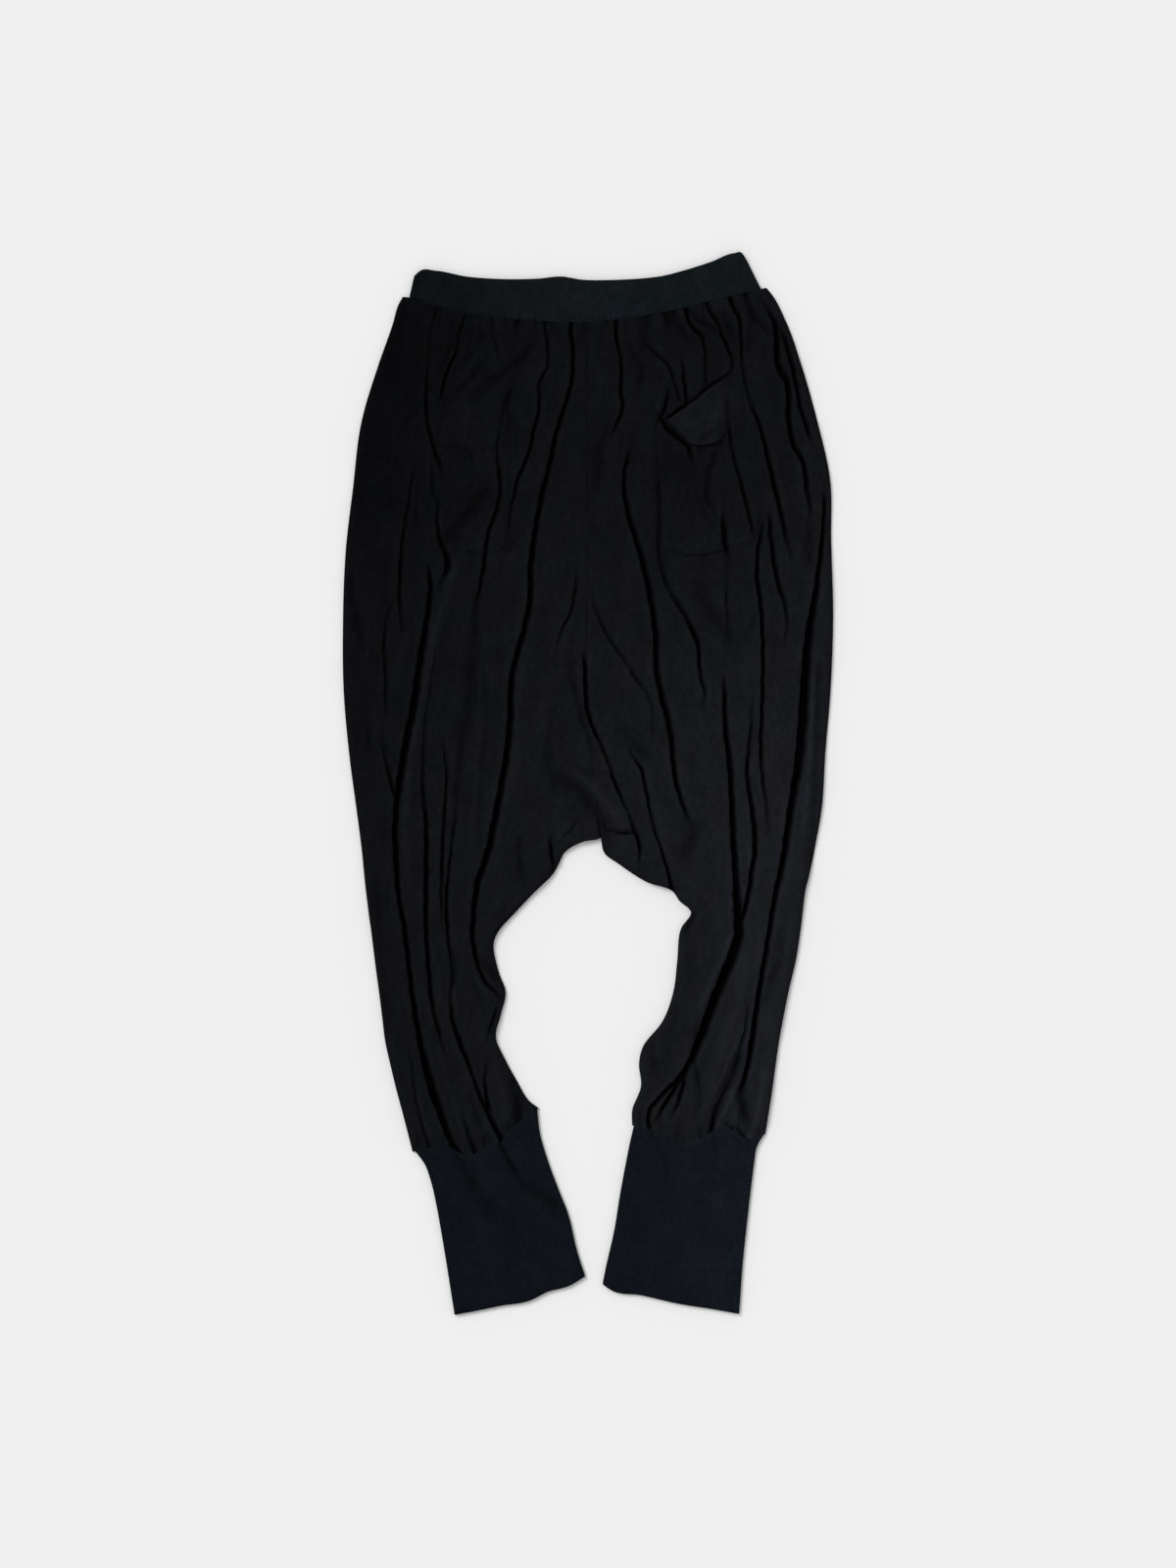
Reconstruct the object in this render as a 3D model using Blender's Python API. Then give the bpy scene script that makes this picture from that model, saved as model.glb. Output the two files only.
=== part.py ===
"""Harem pants laid flat: two gathered panels on each side, patch pockets, rib waistband and long rib cuffs.

Tables are in millimetres, x to the right, y towards the waist, both from the middle of the garment,
and z up from the surface it lies on. The meshes are made in metres. Left and right are as seen from above.
"""

import math
from collections import namedtuple

import bmesh
import bpy
import numpy as np

MM = 0.001

# Driving dimensions of the cloth, in millimetres
WALL = 1.5  # upper panels
UNDER_WALL = 1.2  # lower panels
GAP = 0.3  # between pieces at seams and between layers
UNDER_INSET = 1.0  # how far the lower panels stay inside the outline
HIP_LOFT = 3.2  # rise of the upper layer over its edge at the hips
LEG_LOFT = 5.6  # the same in the gathered legs
LEG_TOP, LEG_RAMP = 60.0, 220.0  # where the rise begins to grow, and over what length
EDGE_ROUND = 11.0  # width over which an edge rolls down
SEAM_DIP, SEAM_WIDTH = 0.9, 2.5  # centre seam
EDGE_TOP = UNDER_WALL + GAP + WALL  # lowest place of the upper layer's face

# How finely the pieces are divided
ROW_STEP = 24.0
COLUMNS = 27
UNDER_STEP, UNDER_COLUMNS = 60.0, 12
ACROSS_SAMPLES = 240  # places tried across a row when its columns are set
FOLD_PULL = 2.6  # how strongly columns crowd at folds
EDGE_PULL = 1.6  # and at rolled edges
LEAST_STEP = 0.5  # smallest distance between points over which a slope is measured
STEEPEST = 1.7  # slope above which the wall isn't thickened further

# Outline of a leg panel: a row for each section from the waist seam down to the cuff seam.
# Outer is the outseam; inner is the centre seam and, once parted is 1, the inseam.
Section = namedtuple("Section", "outer_x outer_y inner_x inner_y parted")
LEFT_SECTIONS = [
    Section(-191, 495, 0, 471, 0),
    Section(-199, 470, 0, 450, 0),
    Section(-213, 430, 0, 415, 0),
    Section(-231, 370, 0, 362, 0),
    Section(-240, 300, 0, 300, 0),
    Section(-247, 240, 0, 240, 0),
    Section(-250, 165, 0, 170, 0),
    Section(-249, 90, -1, 100, 0),
    Section(-243, 25, 2, 45, 0),
    Section(-237, -20, 7, 0, 0),
    Section(-231, -58, 13, -55, 1),
    Section(-229, -75, -8, -60, 1),
    Section(-228, -90, -25, -70, 1),
    Section(-226, -106, -36, -90, 1),
    Section(-224, -122, -55, -110, 1),
    Section(-222, -138, -74, -130, 1),
    Section(-220, -152, -92, -150, 1),
    Section(-218, -168, -97, -163, 1),
    Section(-216, -192, -91, -192, 1),
    Section(-213, -214, -84, -212, 1),
    Section(-210, -238, -89, -236, 1),
    Section(-207, -262, -94, -258, 1),
    Section(-202, -285, -85, -280, 1),
    Section(-196, -310, -73, -302, 1),
    Section(-188, -340, -62, -321, 1),
    Section(-179, -375, -50, -331, 1),
]
RIGHT_SECTIONS = [
    Section(184, 506, 0, 471, 0),
    Section(202, 470, 0, 440, 0),
    Section(217, 430, 0, 405, 0),
    Section(234, 370, 0, 355, 0),
    Section(247, 310, 0, 302, 0),
    Section(248, 250, 0, 247, 0),
    Section(250, 170, 0, 175, 0),
    Section(247, 90, -1, 100, 0),
    Section(242, 30, 2, 45, 0),
    Section(237, -20, 7, 0, 0),
    Section(230, -62, 13, -55, 1),
    Section(227, -78, 17, -68, 1),
    Section(224, -92, 30, -80, 1),
    Section(221, -108, 60, -100, 1),
    Section(219, -124, 87, -110, 1),
    Section(217, -138, 105, -130, 1),
    Section(216, -152, 95, -146, 1),
    Section(211, -180, 91, -180, 1),
    Section(205, -210, 87, -212, 1),
    Section(199, -240, 76, -242, 1),
    Section(194, -268, 56, -268, 1),
    Section(191, -290, 52, -285, 1),
    Section(188, -312, 54, -308, 1),
    Section(184, -338, 45, -333, 1),
    Section(181, -357, 45, -348, 1),
]

# Seam lines and edges that run across, as (x, y) from left to right
WAIST_SEAM = [
    (-191, 495), (-150, 486), (-100, 477), (-50, 472), (0, 471), (50, 476), (100, 486), (145, 497),
    (184, 507),
]
CENTRE_SEAM = [(-55, 13), (0, 7), (45, 2), (100, -1), (175, 0), (471, 0)]  # (y, x) from the crotch up
BAND_TOP = [
    (-177, 518), (-171, 524), (-155, 523), (-123, 517), (-99, 515), (-51, 515), (-25, 518), (-3, 513),
    (21, 513), (61, 516), (93, 523), (125, 532), (149, 540), (157, 541), (161, 537),
]
BAND_ENDS = (-182, 176)  # the waistband's two sides at its seam
LEFT_CUFF_SEAM = [
    (-179, -375), (-141, -371), (-127, -381), (-100, -362), (-86, -367), (-70, -348), (-50, -331),
]
RIGHT_CUFF_SEAM = [(45, -348), (72, -354), (100, -368), (119, -359), (139, -348), (157, -360), (181, -357)]
LEFT_HEM = [(-136, -541), (-114, -537), (-90, -532), (-58, -526), (-42, -518), (-18, -511), (-3, -502)]
RIGHT_HEM = [(15, -510), (22, -515), (54, -521), (94, -530), (126, -535), (154, -540)]

# Outline of a cuff from its seam to its hem
CuffSection = namedtuple("CuffSection", "outer_x outer_y inner_x inner_y")
LEFT_CUFF = [
    CuffSection(-176, -377, -52, -333),
    CuffSection(-166, -390, -49, -358),
    CuffSection(-160, -406, -42, -382),
    CuffSection(-154, -432, -31, -412),
    CuffSection(-149, -460, -20, -440),
    CuffSection(-144, -490, -12, -474),
    CuffSection(-136, -541, -3, -502),
]
RIGHT_CUFF = [
    CuffSection(179, -358, 47, -349),
    CuffSection(172, -370, 43, -366),
    CuffSection(169, -388, 39, -386),
    CuffSection(165, -420, 33, -418),
    CuffSection(161, -455, 27, -455),
    CuffSection(157, -495, 19, -490),
    CuffSection(154, -540, 15, -510),
]

# Creases of the upper layer: a row for each, with its course from the top down
Fold = namedtuple("Fold", "name width depth course")
FOLDS = [
    Fold("left pocket outer", 3.0, 3.0, [(-157, 480), (-162, 434), (-166, 396), (-158, 340), (-149, 318)]),
    Fold("left waist short", 3.0, 2.2, [(-125, 482), (-130, 463), (-138, 431), (-149, 394)]),
    Fold("left waist faint", 3.0, 1.5, [(-97, 481), (-96, 455), (-93, 439)]),
    Fold("left pocket drag low", 7.0, 1.4, [(-103, 431), (-118, 415), (-133, 399)]),
    Fold("left pocket drag high", 7.0, 1.4, [(-58, 448), (-80, 427), (-102, 406)]),
    Fold("left pocket inner", 3.0, 3.4,
         [(-46, 479), (-39, 448), (-49, 407), (-50, 384), (-68, 318), (-79, 276), (-82, 256)]),
    Fold("left main inner", 3.4, 5.2,
         [(-17, 479), (-17, 404), (-34, 360), (-44, 310), (-60, 234), (-62, 190), (-79, 100), (-84, 30),
          (-98, -44), (-114, -110), (-118, -150), (-110, -190), (-92, -214)]),
    Fold("left over pocket", 3.2, 3.6, [(-76, 398), (-92, 356), (-88, 310), (-92, 284), (-112, 200)]),
    Fold("left thigh soft", 7.0, 1.6, [(-112, 200), (-122, 100), (-140, 40)]),
    Fold("left pocket foot", 3.0, 2.2, [(-152, 284), (-155, 264), (-143, 230), (-150, 204)]),
    Fold("left hip outer", 3.2, 2.6, [(-178, 312), (-190, 240), (-192, 210), (-191, 168)]),
    Fold("left main outer", 3.8, 6.2,
         [(-162, 210), (-171, 145), (-186, 50), (-197, -30), (-197, -80), (-184, -186), (-166, -286),
          (-141, -359), (-130, -376)]),
    Fold("left leg second", 3.2, 4.2, [(-154, 134), (-170, 30), (-164, -100), (-161, -203), (-150, -256)]),
    Fold("left leg third", 3.0, 3.0, [(-148, 42), (-145, 16), (-148, -70), (-150, -120), (-148, -156)]),
    Fold("left leg fourth", 3.2, 4.6,
         [(-132, 76), (-130, 0), (-142, -80), (-143, -160), (-134, -252), (-112, -310), (-86, -370)]),
    Fold("left ankle faint", 4.0, 1.6, [(-103, -296), (-102, -324)]),
    Fold("left outseam faint", 3.4, 2.0, [(-202, 176), (-207, 150), (-207, 110), (-205, 70)]),
    Fold("left outseam short", 4.0, 1.5, [(-241, 194), (-234, 150)]),
    Fold("left knee branch", 3.2, 2.8, [(-210, 22), (-203, 4), (-197, -10)]),
    Fold("left ankle outer", 3.4, 2.2, [(-182, -270), (-178, -306), (-172, -330), (-166, -353)]),
    Fold("left ankle middle", 3.4, 2.4, [(-140, -300), (-130, -330), (-120, -362)]),
    Fold("left ankle inner", 4.0, 2.0, [(-93, -270), (-78, -306), (-66, -332)]),
    Fold("crotch main", 3.2, 3.6,
         [(-4, 128), (-2, 84), (6, 56), (18, 26), (30, -4), (47, -46), (53, -78)]),
    Fold("crotch left soft", 5.0, 1.6, [(-14, 120), (-8, 74), (0, 46)]),
    Fold("crotch left high", 3.2, 2.2, [(-12, 215), (-16, 192), (-20, 166), (-31, 142)]),
    Fold("crotch right high", 3.2, 2.8, [(5, 188), (12, 168), (38, 128), (54, 104), (64, 90)]),
    Fold("crotch pucker left", 5.0, 1.6, [(-38, 40), (-40, 20), (-34, 0)]),
    Fold("crotch pucker right", 4.0, 1.8, [(-6, -10), (10, -28), (16, -50)]),
    Fold("crotch pucker low", 4.0, 1.6, [(-8, -36), (-24, -50), (-38, -66)]),
    Fold("right waist inner", 3.2, 3.4,
         [(29, 483), (27, 457), (30, 439), (36, 424), (37, 380), (24, 357)]),
    Fold("right main inner", 3.4, 4.8,
         [(37, 324), (38, 296), (58, 220), (68, 144), (70, 108), (86, 30), (90, -4), (102, -30)]),
    Fold("right thigh inner", 3.2, 3.8, [(44, 32), (56, 10), (62, -24), (70, -56), (86, -108)]),
    Fold("right thigh high", 3.2, 3.2, [(72, 240), (76, 218), (104, 162), (113, 136), (119, 96)]),
    Fold("right pocket upper", 3.4, 2.2, [(66, 441), (83, 424), (86, 405), (93, 388)]),
    Fold("right waist third", 3.2, 2.4, [(100, 486), (105, 469), (116, 457), (119, 440), (119, 414)]),
    Fold("right pocket corner", 3.2, 3.0, [(123, 488), (133, 469), (138, 452), (146, 433), (145, 415)]),
    Fold("right hip main", 3.4, 4.2,
         [(144, 498), (154, 479), (155, 448), (168, 382), (173, 370), (182, 340), (198, 268), (208, 226)]),
    Fold("right waist outer soft", 4.0, 2.0, [(160, 503), (167, 481), (179, 467), (186, 457)]),
    Fold("right hip outer", 3.4, 3.8,
         [(181, 494), (191, 470), (191, 439), (203, 409), (205, 374), (208, 352), (225, 308), (229, 280)]),
    Fold("right pocket long", 3.2, 3.2, [(144, 370), (148, 336), (158, 300), (166, 262)]),
    Fold("right pocket foot", 3.2, 2.8, [(138, 276), (137, 250), (144, 232)]),
    Fold("right pocket soft", 4.0, 2.0, [(130, 336), (123, 308), (130, 270)]),
    Fold("right thigh faint", 4.0, 1.6, [(142, 202), (141, 160)]),
    Fold("right leg second", 3.2, 4.0,
         [(177, 256), (173, 234), (177, 140), (177, 80), (177, 10), (182, -32)]),
    Fold("right hip faint", 3.4, 2.4, [(185, 272), (188, 244), (192, 212), (201, 180)]),
    Fold("right main outer", 3.8, 6.2,
         [(241, 280), (238, 246), (224, 160), (220, 94), (208, 0), (196, -78), (183, -150), (171, -220),
          (160, -284), (154, -306)]),
    Fold("right leg sweep", 3.8, 6.4,
         [(139, 94), (139, 68), (146, -10), (151, -110), (153, -140), (144, -176), (120, -236), (100, -282),
          (74, -316), (60, -346)]),
    Fold("right leg short", 3.2, 3.6, [(165, 40), (162, 14), (169, -44), (167, -80), (158, -125)]),
    Fold("right ankle branch", 3.4, 2.2, [(98, -298), (84, -314), (74, -332)]),
    Fold("right ankle soft", 4.4, 1.8, [(110, -270), (111, -300), (114, -324)]),
    Fold("right ankle outer", 3.4, 2.2, [(156, -300), (160, -322), (166, -340)]),
    Fold("side pocket mouth", 2.6, 2.4, [(197, 465), (205, 436), (212, 405), (218, 380), (229, 347)]),
]
LIP = 0.38  # height of a fold's two lips, as a share of its depth
LIP_AT, LIP_WIDTH = 2.2, 1.1  # where they stand and how wide, as shares of the fold's width
FADE = 26.0  # length over which a fold fades at either end

# Small gathers at the seams, evenly spread and alternately long and short
Gathers = namedtuple("Gathers", "count width depth long short sway")
WAIST_GATHERS = Gathers(count=24, width=3.6, depth=1.7, long=52.0, short=26.0, sway=4.0)
CUFF_GATHERS = Gathers(count=9, width=3.4, depth=2.0, long=60.0, short=32.0, sway=3.0)

# Patch pockets: outlines in order, with the folded hem at the mouth
POCKET_WALL, HEM_WALL, FLAP_WALL = 1.0, 1.7, 3.4
LEFT_POCKET = [(-164, 400), (-82, 398), (-80, 320), (-82, 252), (-86, 240), (-98, 235), (-152, 236),
               (-162, 242), (-166, 254), (-166, 330)]
LEFT_POCKET_HEM = [(-168, 404), (-78, 402), (-78, 376), (-168, 378)]
RIGHT_POCKET = [(70, 400), (82, 376), (145, 417), (168, 413), (172, 340), (174, 256), (168, 246),
                (142, 241), (134, 236), (96, 233), (84, 238), (76, 250), (73, 300)]
RIGHT_POCKET_FLAP = [(82, 381), (142, 424), (160, 422), (155, 400), (150, 368), (137, 347), (120, 344),
                     (104, 346), (90, 360)]
CUTTER_TOP = 40.0

# Rib tubes, laid flat
BAND_COLUMNS, BAND_ROWS = 36, 3
CUFF_COLUMNS, CUFF_STEP = 9, 30.0
RIB_WALL = 1.6
BAND_HEIGHT, CUFF_HEIGHT = 5.4, 4.8
SIDE_ROUND = 4.0  # width over which a tube's side is rolled
SIDE_STEPS = 3

CLOTH = ("black_crinkle_jersey", (0.0065, 0.0066, 0.0078), 0.92)
RIB = ("black_rib_knit", (0.0062, 0.0080, 0.0098), 0.88)


def clear_scene():
    for obj in list(bpy.data.objects):
        bpy.data.objects.remove(obj, do_unlink=True)


def make_material(name, colour, roughness):
    material = bpy.data.materials.new(name)
    material.use_nodes = True
    shader = material.node_tree.nodes["Principled BSDF"]
    shader.inputs["Base Color"].default_value = (*colour, 1.0)
    shader.inputs["Roughness"].default_value = roughness
    shader.inputs["Metallic"].default_value = 0.0
    return material


def smooth_curve(knots, values, at):
    """Smooth curve through (knots, values), with knots rising, read at the numbers in at."""
    knots = np.asarray(knots, float)
    values = np.asarray(values, float)
    at = np.clip(np.asarray(at, float), knots[0], knots[-1])
    if len(knots) == 2:
        return np.interp(at, knots, values)
    slopes = np.gradient(values, knots)
    first = np.clip(np.searchsorted(knots, at, side="right") - 1, 0, len(knots) - 2)
    span = knots[first + 1] - knots[first]
    t = (at - knots[first]) / span
    start = (1 + 2 * t) * (1 - t) ** 2 * values[first] + t * (1 - t) ** 2 * span * slopes[first]
    end = t * t * (3 - 2 * t) * values[first + 1] - t * t * (1 - t) * span * slopes[first + 1]
    return start + end


def line_y(line, x):
    """Place down the garment of a line that runs across, at x; straight between its points."""
    return np.interp(x, [p[0] for p in line], [p[1] for p in line])


def snap(x, line):
    """The places x of a row, with the nearest one moved onto each of a line's own points."""
    x = x.copy()
    for station, _ in line:
        if x.min() < station < x.max():
            x[1 + np.argmin(abs(x[1:-1] - station))] = station
    return x


def ease(t):
    t = np.clip(t, 0.0, 1.0)
    return t * t * (3 - 2 * t)


def roll(distance, width):
    """Quarter-round profile of a rolled edge: 0 at the edge, 1 from width inwards."""
    return np.sqrt(1 - (1 - np.clip(distance / width, 0, 1)) ** 2)


def crease(distance, width):
    """Cross-section of a fold: 1 at its bottom, with a raised lip on either side."""
    s = distance / width
    return np.exp(-s * s) - LIP * np.exp(-(((np.abs(s) - LIP_AT) / LIP_WIDTH) ** 2))


def fold_x(fold, y):
    return smooth_curve([-p[1] for p in fold.course], [p[0] for p in fold.course], -y)


def fold_strength(fold, y):
    """1 along a fold, fading to 0 at its two ends."""
    top, foot = fold.course[0][1], fold.course[-1][1]
    fade = min(FADE, (top - foot) / 2)
    return ease((top - y) / fade) * ease((y - foot) / fade)


def gather_list(gathers, seam, reach):
    """Places of a seam's gathers, as (x, seam y, length) rows; reach is +1 above the seam or -1 below it."""
    left, right = seam[0][0], seam[-1][0]
    pitch = (right - left) / gathers.count
    rows = []
    for k in range(gathers.count):
        x = left + (k + 0.5) * pitch + gathers.sway * math.sin(2.4 * k + left)
        length = gathers.long if k % 3 == 1 else gathers.short
        rows.append((x, float(line_y(seam, x)), reach * length))
    return rows


ALL_GATHERS = [
    (WAIST_GATHERS, gather_list(WAIST_GATHERS, WAIST_SEAM, -1)),
    (CUFF_GATHERS, gather_list(CUFF_GATHERS, LEFT_CUFF_SEAM, 1)),
    (CUFF_GATHERS, gather_list(CUFF_GATHERS, RIGHT_CUFF_SEAM, 1)),
]


def relief(x, y):
    """How far the creases and gathers press the upper layer down (negative: raise it)."""
    total = np.zeros_like(x)
    for fold in FOLDS:
        total += fold.depth * fold_strength(fold, y) * crease(x - fold_x(fold, y), fold.width)
    for gathers, rows in ALL_GATHERS:
        for seam_x, seam_y, length in rows:
            along = (y - seam_y) / length
            near = ease(1 - along) * (along > -0.5)
            total += gathers.depth * near * crease(x - seam_x, gathers.width)
    return total


def upper_face(x, y, from_outer, from_inner, parted):
    """Height of the upper layer's outer face."""
    loft = HIP_LOFT + (LEG_LOFT - HIP_LOFT) * ease((LEG_TOP - y) / LEG_RAMP)
    seam = SEAM_DIP * np.exp(-((from_inner / SEAM_WIDTH) ** 2)) * (1 - parted)
    over_edge = np.maximum(loft - relief(x, y) - seam, 0)
    inner = 1 - parted * (1 - roll(from_inner, EDGE_ROUND))
    return EDGE_TOP + over_edge * inner * roll(from_outer, EDGE_ROUND)


def section_rows(sections, step):
    """Numbers that count the way down a piece: one for each section, and one for each row, step apart."""
    table = np.array(sections, float)
    moves = np.diff(table[:, :4], axis=0)
    lengths = (np.hypot(moves[:, 0], moves[:, 1]) + np.hypot(moves[:, 2], moves[:, 3])) / 2
    knots = np.concatenate([[0.0], np.cumsum(lengths)])
    rows = [0.0]
    for start, end in zip(knots[:-1], knots[1:]):
        parts = max(1, math.ceil((end - start) / step))
        rows += [start + (end - start) * k / parts for k in range(1, parts + 1)]
    return knots, np.array(rows)


def set_columns(edges, count):
    """Shares of the way across each row, crowded where folds and rolled edges bend the cloth."""
    shares = np.linspace(0, 1, ACROSS_SAMPLES)
    columns = []
    for outer_x, outer_y, inner_x, inner_y, parted in edges:
        x = outer_x + (inner_x - outer_x) * shares
        y = outer_y + (inner_y - outer_y) * shares
        width = math.hypot(inner_x - outer_x, inner_y - outer_y)
        weight = np.ones_like(shares)
        for fold in FOLDS:
            near = np.exp(-(((x - fold_x(fold, y)) / (2.2 * fold.width)) ** 2))
            weight += FOLD_PULL * (fold.depth / 4) * near * fold_strength(fold, y)
        weight += EDGE_PULL * np.exp(-((shares * width / EDGE_ROUND) ** 2))
        weight += EDGE_PULL * parted * np.exp(-(((1 - shares) * width / EDGE_ROUND) ** 2))
        steps = (weight[1:] + weight[:-1]) / 2
        total = np.concatenate([[0.0], np.cumsum(steps)])
        columns.append(np.interp(np.linspace(0, total[-1], count), total, shares))
    return np.array(columns)


def lay_rows(edges, across, top_line, foot_line, top_hold, foot_hold):
    """x and y of rows between two edges, the first and last laid along the lines that they meet."""
    outer_x, outer_y, inner_x, inner_y = (edges[:, c, None] for c in range(4))
    x = outer_x + (inner_x - outer_x) * across
    y = outer_y + (inner_y - outer_y) * across
    down = (np.arange(len(edges)) / (len(edges) - 1))[:, None]
    y = y + (line_y(top_line, x[0]) - y[0]) * (1 - down) ** top_hold
    y = y + (line_y(foot_line, x[-1]) - y[-1]) * down**foot_hold
    x[0], x[-1] = snap(x[0], top_line), snap(x[-1], foot_line)
    y[0], y[-1] = line_y(top_line, x[0]) - GAP / 2, line_y(foot_line, x[-1]) + GAP / 2
    return x, y


def panel_plan(sections, cuff_seam, step, count, inset, crowded):
    """Plan of a leg panel: x, y and the distances from both edges, for rows down it and columns across."""
    table = np.array(sections, float)
    knots, rows = section_rows(sections, step)
    edges = np.array([smooth_curve(knots, table[:, c], rows) for c in range(4)]).T
    parted = ease(np.interp(rows, knots, table[:, 4]))
    joined = np.interp(rows, knots, table[:, 4]) < 1
    edges[joined, 2] = smooth_curve(*zip(*CENTRE_SEAM), edges[joined, 3])
    if crowded:
        shares = set_columns(np.column_stack([edges, parted]), count)
    else:
        shares = np.tile(np.linspace(0, 1, count), (len(rows), 1))
    width = np.hypot(edges[:, 2] - edges[:, 0], edges[:, 3] - edges[:, 1])[:, None]
    parted = parted[:, None]
    start = inset / width
    end = 1 - (GAP / 2 + max(inset - GAP / 2, 0) * parted) / width
    across = start + (end - start) * shares
    x, y = lay_rows(edges, across, WAIST_SEAM, cuff_seam, 6, 8)
    return x, y, across * width, (1 - across) * width, np.broadcast_to(parted, x.shape)


def grid_points(x, y, z):
    return np.stack([x, y, np.broadcast_to(z, x.shape)], axis=-1) * MM


def wall_mesh(name, top, bottom):
    """Closed wall between two grids of points, with each cell split along the line that runs more level."""
    rows, columns = top.shape[:2]
    mesh = bpy.data.meshes.new(name)
    bm = bmesh.new()
    upper = [[bm.verts.new(top[r, c]) for c in range(columns)] for r in range(rows)]
    lower = [[bm.verts.new(bottom[r, c]) for c in range(columns)] for r in range(rows)]
    for r in range(rows - 1):
        for c in range(columns - 1):
            falling = abs(top[r, c, 2] - top[r + 1, c + 1, 2])
            rising = abs(top[r, c + 1, 2] - top[r + 1, c, 2])
            for grid in (upper, lower):
                a, b = grid[r][c], grid[r][c + 1]
                d, e = grid[r + 1][c], grid[r + 1][c + 1]
                if falling <= rising:
                    bm.faces.new((a, b, e))
                    bm.faces.new((a, e, d))
                else:
                    bm.faces.new((a, b, d))
                    bm.faces.new((b, e, d))
    rim = [(0, c) for c in range(columns)] + [(r, columns - 1) for r in range(1, rows)]
    rim += [(rows - 1, c) for c in range(columns - 2, -1, -1)] + [(r, 0) for r in range(rows - 2, 0, -1)]
    for (r, c), (s, d) in zip(rim, rim[1:] + rim[:1]):
        bm.faces.new((upper[r][c], upper[s][d], lower[s][d], lower[r][c]))
    bmesh.ops.recalc_face_normals(bm, faces=bm.faces)
    bm.to_mesh(mesh)
    bm.free()
    return mesh


def add_object(name, mesh, material):
    obj = bpy.data.objects.new(name, mesh)
    mesh.materials.append(material)
    mesh.shade_smooth()
    mesh.set_sharp_from_angle(angle=math.radians(50))
    bpy.context.scene.collection.objects.link(obj)
    return obj


def lower_face(face, x, y):
    """Inner face of the upper layer: a wall's thickness below its outer face, measured square to it."""
    across = np.gradient(face, axis=1) / np.maximum(np.abs(np.gradient(x, axis=1)), LEAST_STEP)
    down = np.gradient(face, axis=0) / np.maximum(np.abs(np.gradient(y, axis=0)), LEAST_STEP)
    steepness = np.sqrt(1 + np.minimum(across**2 + down**2, STEEPEST**2))
    return np.maximum(face - WALL * steepness, UNDER_WALL + GAP)


def make_back_panel(name, sections, cuff_seam, cloth):
    x, y, from_outer, from_inner, parted = panel_plan(sections, cuff_seam, ROW_STEP, COLUMNS, 0.0, True)
    face = upper_face(x, y, from_outer, from_inner, parted)
    top = grid_points(x, y, face)
    bottom = grid_points(x, y, lower_face(face, x, y))
    return add_object(name, wall_mesh(name, top, bottom), cloth), top


def make_front_panel(name, sections, cuff_seam, cloth):
    x, y, _, _, _ = panel_plan(sections, cuff_seam, UNDER_STEP, UNDER_COLUMNS, UNDER_INSET, False)
    top = grid_points(x, y, UNDER_WALL)
    bottom = grid_points(x, y, 0.0)
    return add_object(name, wall_mesh(name, top, bottom), cloth)


def make_prism(name, outline):
    """Upright cutter over an outline on the garment."""
    mesh = bpy.data.meshes.new(name)
    bm = bmesh.new()
    base = bm.faces.new([bm.verts.new((x * MM, y * MM, 0.0)) for x, y in outline])
    raised = bmesh.ops.extrude_face_region(bm, geom=[base])["geom"]
    lifted = [v for v in raised if isinstance(v, bmesh.types.BMVert)]
    bmesh.ops.translate(bm, verts=lifted, vec=(0, 0, CUTTER_TOP * MM))
    bmesh.ops.recalc_face_normals(bm, faces=bm.faces)
    bm.to_mesh(mesh)
    bm.free()
    prism = bpy.data.objects.new(name, mesh)
    bpy.context.scene.collection.objects.link(prism)
    hide_helper(prism)
    return prism


def hide_helper(obj):
    obj.hide_render = True
    obj.display_type = "WIRE"


def add_boolean(obj, operation, other):
    modifier = obj.modifiers.new(f"{operation.lower()} {other.name}", "BOOLEAN")
    modifier.operation = operation
    modifier.solver = "EXACT"
    modifier.object = other


def slab_over(name, panel_top, outline, thickness, material):
    """The panel's own points inside an outline, moved up by the gap, as a layer cut to the outline."""
    xs, ys = [p[0] * MM for p in outline], [p[1] * MM for p in outline]
    inside = (
        (panel_top[..., 0] > min(xs)) & (panel_top[..., 0] < max(xs))
        & (panel_top[..., 1] > min(ys)) & (panel_top[..., 1] < max(ys))
    )
    rows, columns = np.nonzero(inside)
    first_row, last_row = max(rows.min() - 1, 0), rows.max() + 2
    first_column, last_column = max(columns.min() - 1, 0), columns.max() + 2
    patch = panel_top[first_row:last_row, first_column:last_column]
    bottom = patch + np.array([0, 0, GAP * MM])
    top = bottom + np.array([0, 0, thickness * MM])
    slab = add_object(name, wall_mesh(name, top, bottom), material)
    add_boolean(slab, "INTERSECT", make_prism(f"{name}_outline", outline))
    return slab


def make_pocket(name, panel_top, outline, trim_outline, trim_wall, cloth):
    """Patch pocket with a thicker trim: the folded hem at its mouth, or the mouth's flopped corner."""
    pocket = slab_over(name, panel_top, outline, POCKET_WALL, cloth)
    trim = slab_over(f"{name}_trim", panel_top, trim_outline, trim_wall, cloth)
    add_boolean(trim, "INTERSECT", bpy.data.objects[f"{name}_outline"])
    hide_helper(trim)
    add_boolean(pocket, "UNION", trim)
    return pocket


def tube_shares(width, count):
    """Shares across a flattened tube: close together where its sides are rolled, then even."""
    side = [SIDE_ROUND * (1 - math.cos(math.pi / 2 * k / SIDE_STEPS)) / width for k in range(SIDE_STEPS)]
    middle = np.linspace(SIDE_ROUND / width, 1 - SIDE_ROUND / width, count)
    return np.concatenate([side, middle, [1 - share for share in reversed(side)]])


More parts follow.
